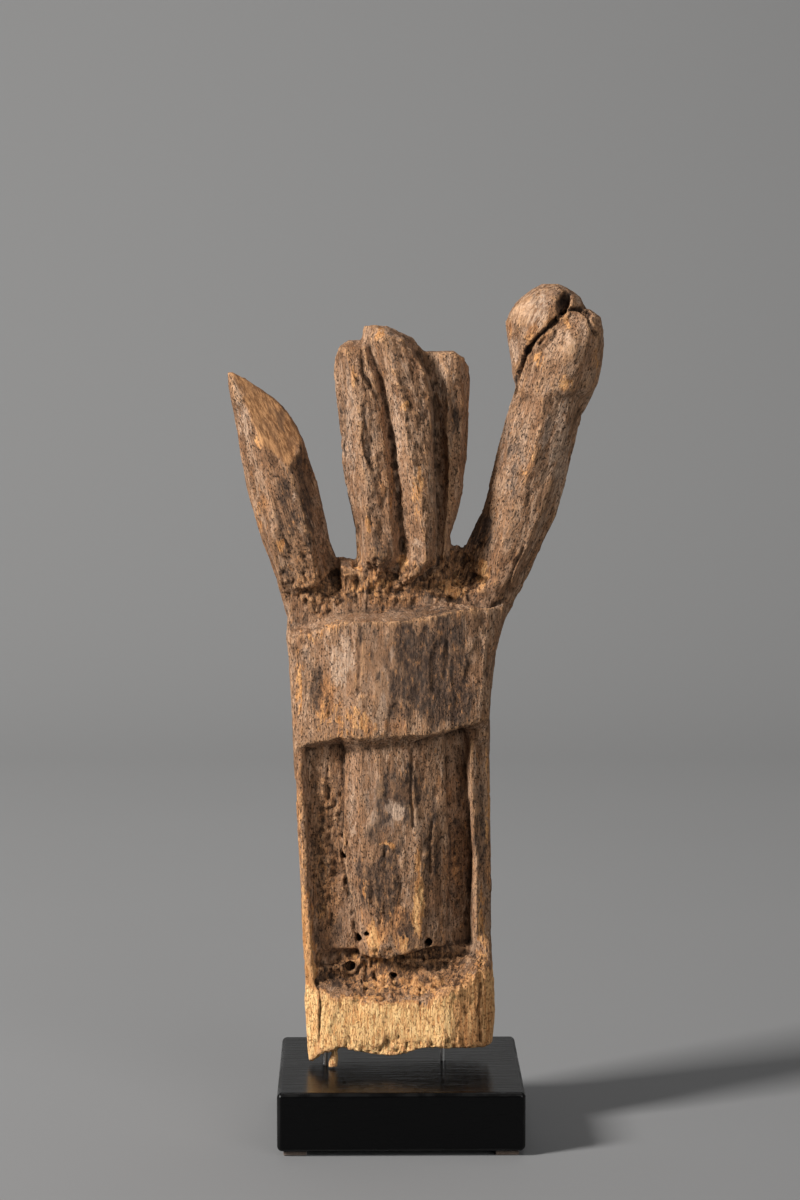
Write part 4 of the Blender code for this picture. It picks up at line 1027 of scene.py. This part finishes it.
def wood_material():
    """The carving's wood, from its old surface to what is worn, bare, freshly cut or cracked."""
    graph = Graph("weathered_wood")
    grain = graph.attribute("grain")
    pattern = {name: graph.noise(grain, *values) for name, values in WOOD_PATTERNS.items()}
    area = {}
    for attribute, names in PAINTED.items():
        area.update(zip(names, graph.parts(graph.attribute(attribute))))
    area["darkened"] = graph.frayed(area, "dark", pattern["patch"])
    bare = graph.ramp(graph.frayed(area, "tan", pattern["blotch"]), *RAMPS["bare"])
    colour = graph.mix(bare, weathered_colour(graph, pattern, area), bare_colour(graph, pattern, area))
    # pale patina, with two painted highlights on the left limb's crease
    colour = graph.lay(colour, graph.frayed(area, "pale", pattern["blotch"]), *LAYERS["pale"])
    colour = graph.lay(colour, pattern["blotch"], *LAYERS["spot"])
    rubbed = graph.times(area["edge"], graph.ramp(pattern["blotch"], *RAMPS["rubbed"]))
    colour = graph.mix(rubbed, colour, TINTS["rubbed"])
    stained = graph.times(graph.ramp(bare, *RAMPS["stain_on_bare"]),
                          graph.ramp(area["handled"], *RAMPS["stain_on_handled"]))
    lines = graph.times(graph.ramp(pattern["fibre"], *RAMPS["lines"]), stained)
    colour = graph.mix(lines, colour, graph.mix(bare, TINTS["line"], TINTS["bare_line"]))
    pores = graph.times(graph.ramp(pattern["speck"], *RAMPS["pores"]), stained)
    colour = graph.mix(pores, colour, graph.mix(bare, TINTS["pore"], TINTS["bare_pore"]))
    grit = graph.times(graph.ramp(pattern["crumb"], *RAMPS["grit"]),
                       graph.ramp(area["handled"], *RAMPS["grit_on_handled"]))
    colour = graph.mix(grit, colour, TINTS["grit"], "OVERLAY")
    # painted shade: the hollows darkened
    colour = graph.mark(colour, area, "hollow_shade")
    colour = graph.mix(area["cut"], colour, cut_colour(graph, pattern, area))
    # painted shade inside the cracks
    colour = graph.mark(colour, area, "crack_shade")
    height = graph.ramp(pattern["speck"], *RAMPS["pits"])
    height = graph.sum(height, *(graph.times(pattern[name], share) for name, share in BUMPS.items()))
    calm = graph.math("MAXIMUM", area["cut"], graph.times(area["handled"], SHARES["calm"]))
    strength = graph.ramp(calm, *RAMPS["bump_where_calm"])
    graph.set_shader(Base_Color=colour, Roughness=graph.spread(pattern["patch"], *WOOD_ROUGHNESS),
                     Normal=graph.bump(height, strength, WOOD_BUMP), Specular_IOR_Level=0.2)
    return graph.material


def lacquer_material():
    """Black lacquer with brush strokes, specks of dust and edges that are a little worn, rougher and painted
    lighter, partly as a painted highlight.
    """
    graph = Graph("black_lacquer")
    place = graph.places()
    wave = graph.noise(place, *LACQUER_WAVE)
    colour = graph.lay(TINTS["lacquer"], graph.noise(place, *LACQUER_SPECKS), *LAYERS["lacquer_dust"])
    across = graph.parts(graph.node("ShaderNodeNewGeometry").outputs["True Normal"])
    flat = graph.math("ABSOLUTE", across[0])
    for part in across[1:]:
        flat = graph.math("MAXIMUM", flat, graph.math("ABSOLUTE", part))
    # rounded edges painted lighter, partly as wear and partly as a painted highlight, and made rougher
    edge_wear_and_highlight = graph.times(graph.ramp(flat, *RAMPS["lacquer_edge"]), graph.ramp(wave, *RAMPS["lacquer_edge_wear_and_highlight_breaks"]))
    colour = graph.mix(graph.times(edge_wear_and_highlight, SHARES["edge_wear_and_highlight"]), colour, TINTS["lacquer_edge_wear_and_highlight"])
    rough = graph.sum(graph.spread(wave, 0.08, 0.18), graph.times(edge_wear_and_highlight, SHARES["worn_rough"]))
    graph.set_shader(Base_Color=colour, Roughness=rough, Specular_IOR_Level=0.15,
                     Normal=graph.bump(graph.noise(place, *LACQUER_BRUSH), 0.9, 0.0002))
    return graph.material


def steel_material():
    graph = Graph("steel")
    place = graph.places()
    lines = graph.noise(place, *STEEL_LINES)
    graph.set_shader(Base_Color=graph.two_tone(lines, *TWO_TONES["steel"]), Metallic=0.8,
                     Roughness=graph.spread(lines, 0.42, 0.55), Normal=graph.bump(lines, 0.2, 0.00005))
    return graph.material


def felt_material():
    graph = Graph("felt")
    place = graph.places()
    fuzz = graph.noise(place, *FELT_FUZZ)
    colour = graph.two_tone(fuzz, *TWO_TONES["felt"])
    colour = graph.lay(colour, graph.noise(place, *FELT_CLUMPS), *LAYERS["felt_clump"])
    graph.set_shader(Base_Color=colour, Roughness=0.95, Sheen_Weight=0.3,
                     Normal=graph.bump(fuzz, 0.9, 0.0004))
    return graph.material


def backdrop_material():
    """Grey paper, painted lighter towards the back as a painted light falloff."""
    graph = Graph("backdrop_paper")
    place = graph.places()
    # painted light falloff: darker near the front, lighter towards the back
    back = graph.sum(graph.parts(place)[1], graph.times(graph.noise(place, *PAPER_MOTTLE), 0.2))
    tooth = graph.noise(place, *PAPER_TOOTH)
    graph.set_shader(Base_Color=graph.two_tone(back, *TWO_TONES["paper_and_painted_falloff"]), Roughness=0.9,
                     Specular_IOR_Level=0.2, Normal=graph.bump(tooth, 0.08, 0.0002))
    return graph.material


def rounded_box(name, low, high, radius, steps):
    """A mesh of a box with rounded edges, from its corners in metres."""
    low, high = Vector(low), Vector(high)
    bm = bmesh.new()
    bmesh.ops.create_cube(bm, size=1.0)
    bmesh.ops.scale(bm, vec=high - low, verts=bm.verts)
    bmesh.ops.translate(bm, vec=(low + high) / 2, verts=bm.verts)
    bmesh.ops.bevel(bm, geom=bm.edges[:], offset=radius, segments=steps, profile=0.5, affect="EDGES")
    return mesh_from(bm, name)


def make_plinth(material):
    low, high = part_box("plinth")
    mesh = rounded_box("plinth_block", low, high, PLINTH_EDGE * MM, PLINTH_EDGE_STEPS)
    obj = new_piece("plinth_block", mesh, "plinth")
    finish_piece(obj, material)
    modifier = obj.modifiers.new("WEIGHTED_NORMAL", "WEIGHTED_NORMAL")
    modifier.keep_sharp = True


def make_pin(side, material):
    low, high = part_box(f"mounting_pin_{side}")
    radius, length = (high.x - low.x) / 2, high.z - low.z
    bm = bmesh.new()
    bmesh.ops.create_cone(bm, cap_ends=True, segments=PIN_SIDES, radius1=radius, radius2=radius, depth=length)
    ends = [edge for edge in bm.edges if abs(edge.verts[0].co.z - edge.verts[1].co.z) < length / 2]
    bmesh.ops.bevel(bm, geom=ends, offset=radius * PIN_ROUNDING, segments=2, profile=0.5, affect="EDGES")
    bmesh.ops.translate(bm, vec=(low + high) / 2, verts=bm.verts)
    mesh = mesh_from(bm, f"pin_{side}")
    obj = new_piece(f"pin_{side}", mesh, f"mounting_pin_{side}")
    finish_piece(obj, material)
    mesh.set_sharp_from_angle(angle=math.radians(PIN_SHARP_DEG))


def make_pad(corner, material):
    node = f"felt_pad_{corner}"
    mesh = rounded_box(f"pad_{corner}", *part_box(node), PAD_EDGE * MM, PAD_EDGE_STEPS)
    obj = new_piece(f"pad_{corner}", mesh, node)
    use_modifier(obj, "REMESH", mode="VOXEL", voxel_size=PAD_VOXEL * MM)
    place = mesh_places(obj.data) / MM
    move = PAD_FUZZ * noise(place, *WAVES["felt"]) - PAD_INSET
    place = (place + mesh_normals(obj.data) * move[:, None]) * MM
    set_mesh_places(obj.data, inside_box(place, node))
    finish_piece(obj, material)


def make_backdrop(material):
    """A floor that sweeps up into a wall behind the object."""
    half_width, front, bend, radius, top, steps = 3.0, -3.0, 0.9, 0.9, 3.4, 24
    line = [(front, 0.0)]
    for index in range(steps + 1):
        turn = math.pi / 2 * index / steps
        line.append((bend + radius * math.sin(turn), radius - radius * math.cos(turn)))
    line.append((bend + radius, top))
    bm = bmesh.new()
    rows = [[bm.verts.new((x, y, z)) for y, z in line] for x in (-half_width, half_width)]
    for a, b, c, d in zip(rows[0], rows[0][1:], rows[1][1:], rows[1]):
        bm.faces.new((a, d, c, b))
    obj = new_object("backdrop", mesh_from(bm, "backdrop"))
    finish_piece(obj, material)


def make_camera(foot):
    data = bpy.data.cameras.new("camera")
    data.lens = LENS
    data.sensor_fit = "VERTICAL"
    data.sensor_height = SENSOR
    data.sensor_width = SENSOR
    camera = new_object("camera", data)
    camera.location = foot + Vector(CAMERA_PLACE)
    camera.rotation_euler = (math.radians(90 + CAMERA_TILT_DEG), 0.0, math.radians(CAMERA_TURN_DEG))
    bpy.context.scene.camera = camera


def make_lights(foot):
    for name, (place, width, height, energy, colour) in LIGHTS.items():
        data = bpy.data.lights.new(name, "AREA")
        data.shape = "RECTANGLE"
        data.size, data.size_y = width, height
        data.energy, data.color = energy, colour
        light = new_object(name, data)
        light.location = foot + Vector(place)
        light.rotation_euler = (Vector(AIM) - Vector(place)).to_track_quat("-Z", "Y").to_euler()
    world = bpy.data.worlds.new("studio")
    world.use_nodes = True
    background = world.node_tree.nodes["Background"]
    background.inputs["Color"].default_value = (*WORLD_COLOUR, 1.0)
    background.inputs["Strength"].default_value = WORLD_STRENGTH
    bpy.context.scene.world = world


def clear_start():
    for obj in list(bpy.data.objects):
        bpy.data.objects.remove(obj, do_unlink=True)


clear_start()
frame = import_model()
origin = plinth_top()
foot = Vector((origin[0], origin[1], 0.0))
bpy.context.scene.view_settings.view_transform = "Standard"
make_camera(foot)
make_lights(foot)
make_backdrop(backdrop_material())
make_wood(frame["nodes"]["carved_figure"].data, origin, wood_material())
make_plinth(lacquer_material())
steel, felt = steel_material(), felt_material()
for side in ("left", "right"):
    make_pin(side, steel)
for corner in ("front_left", "front_right", "back_left", "back_right"):
    make_pad(corner, felt)
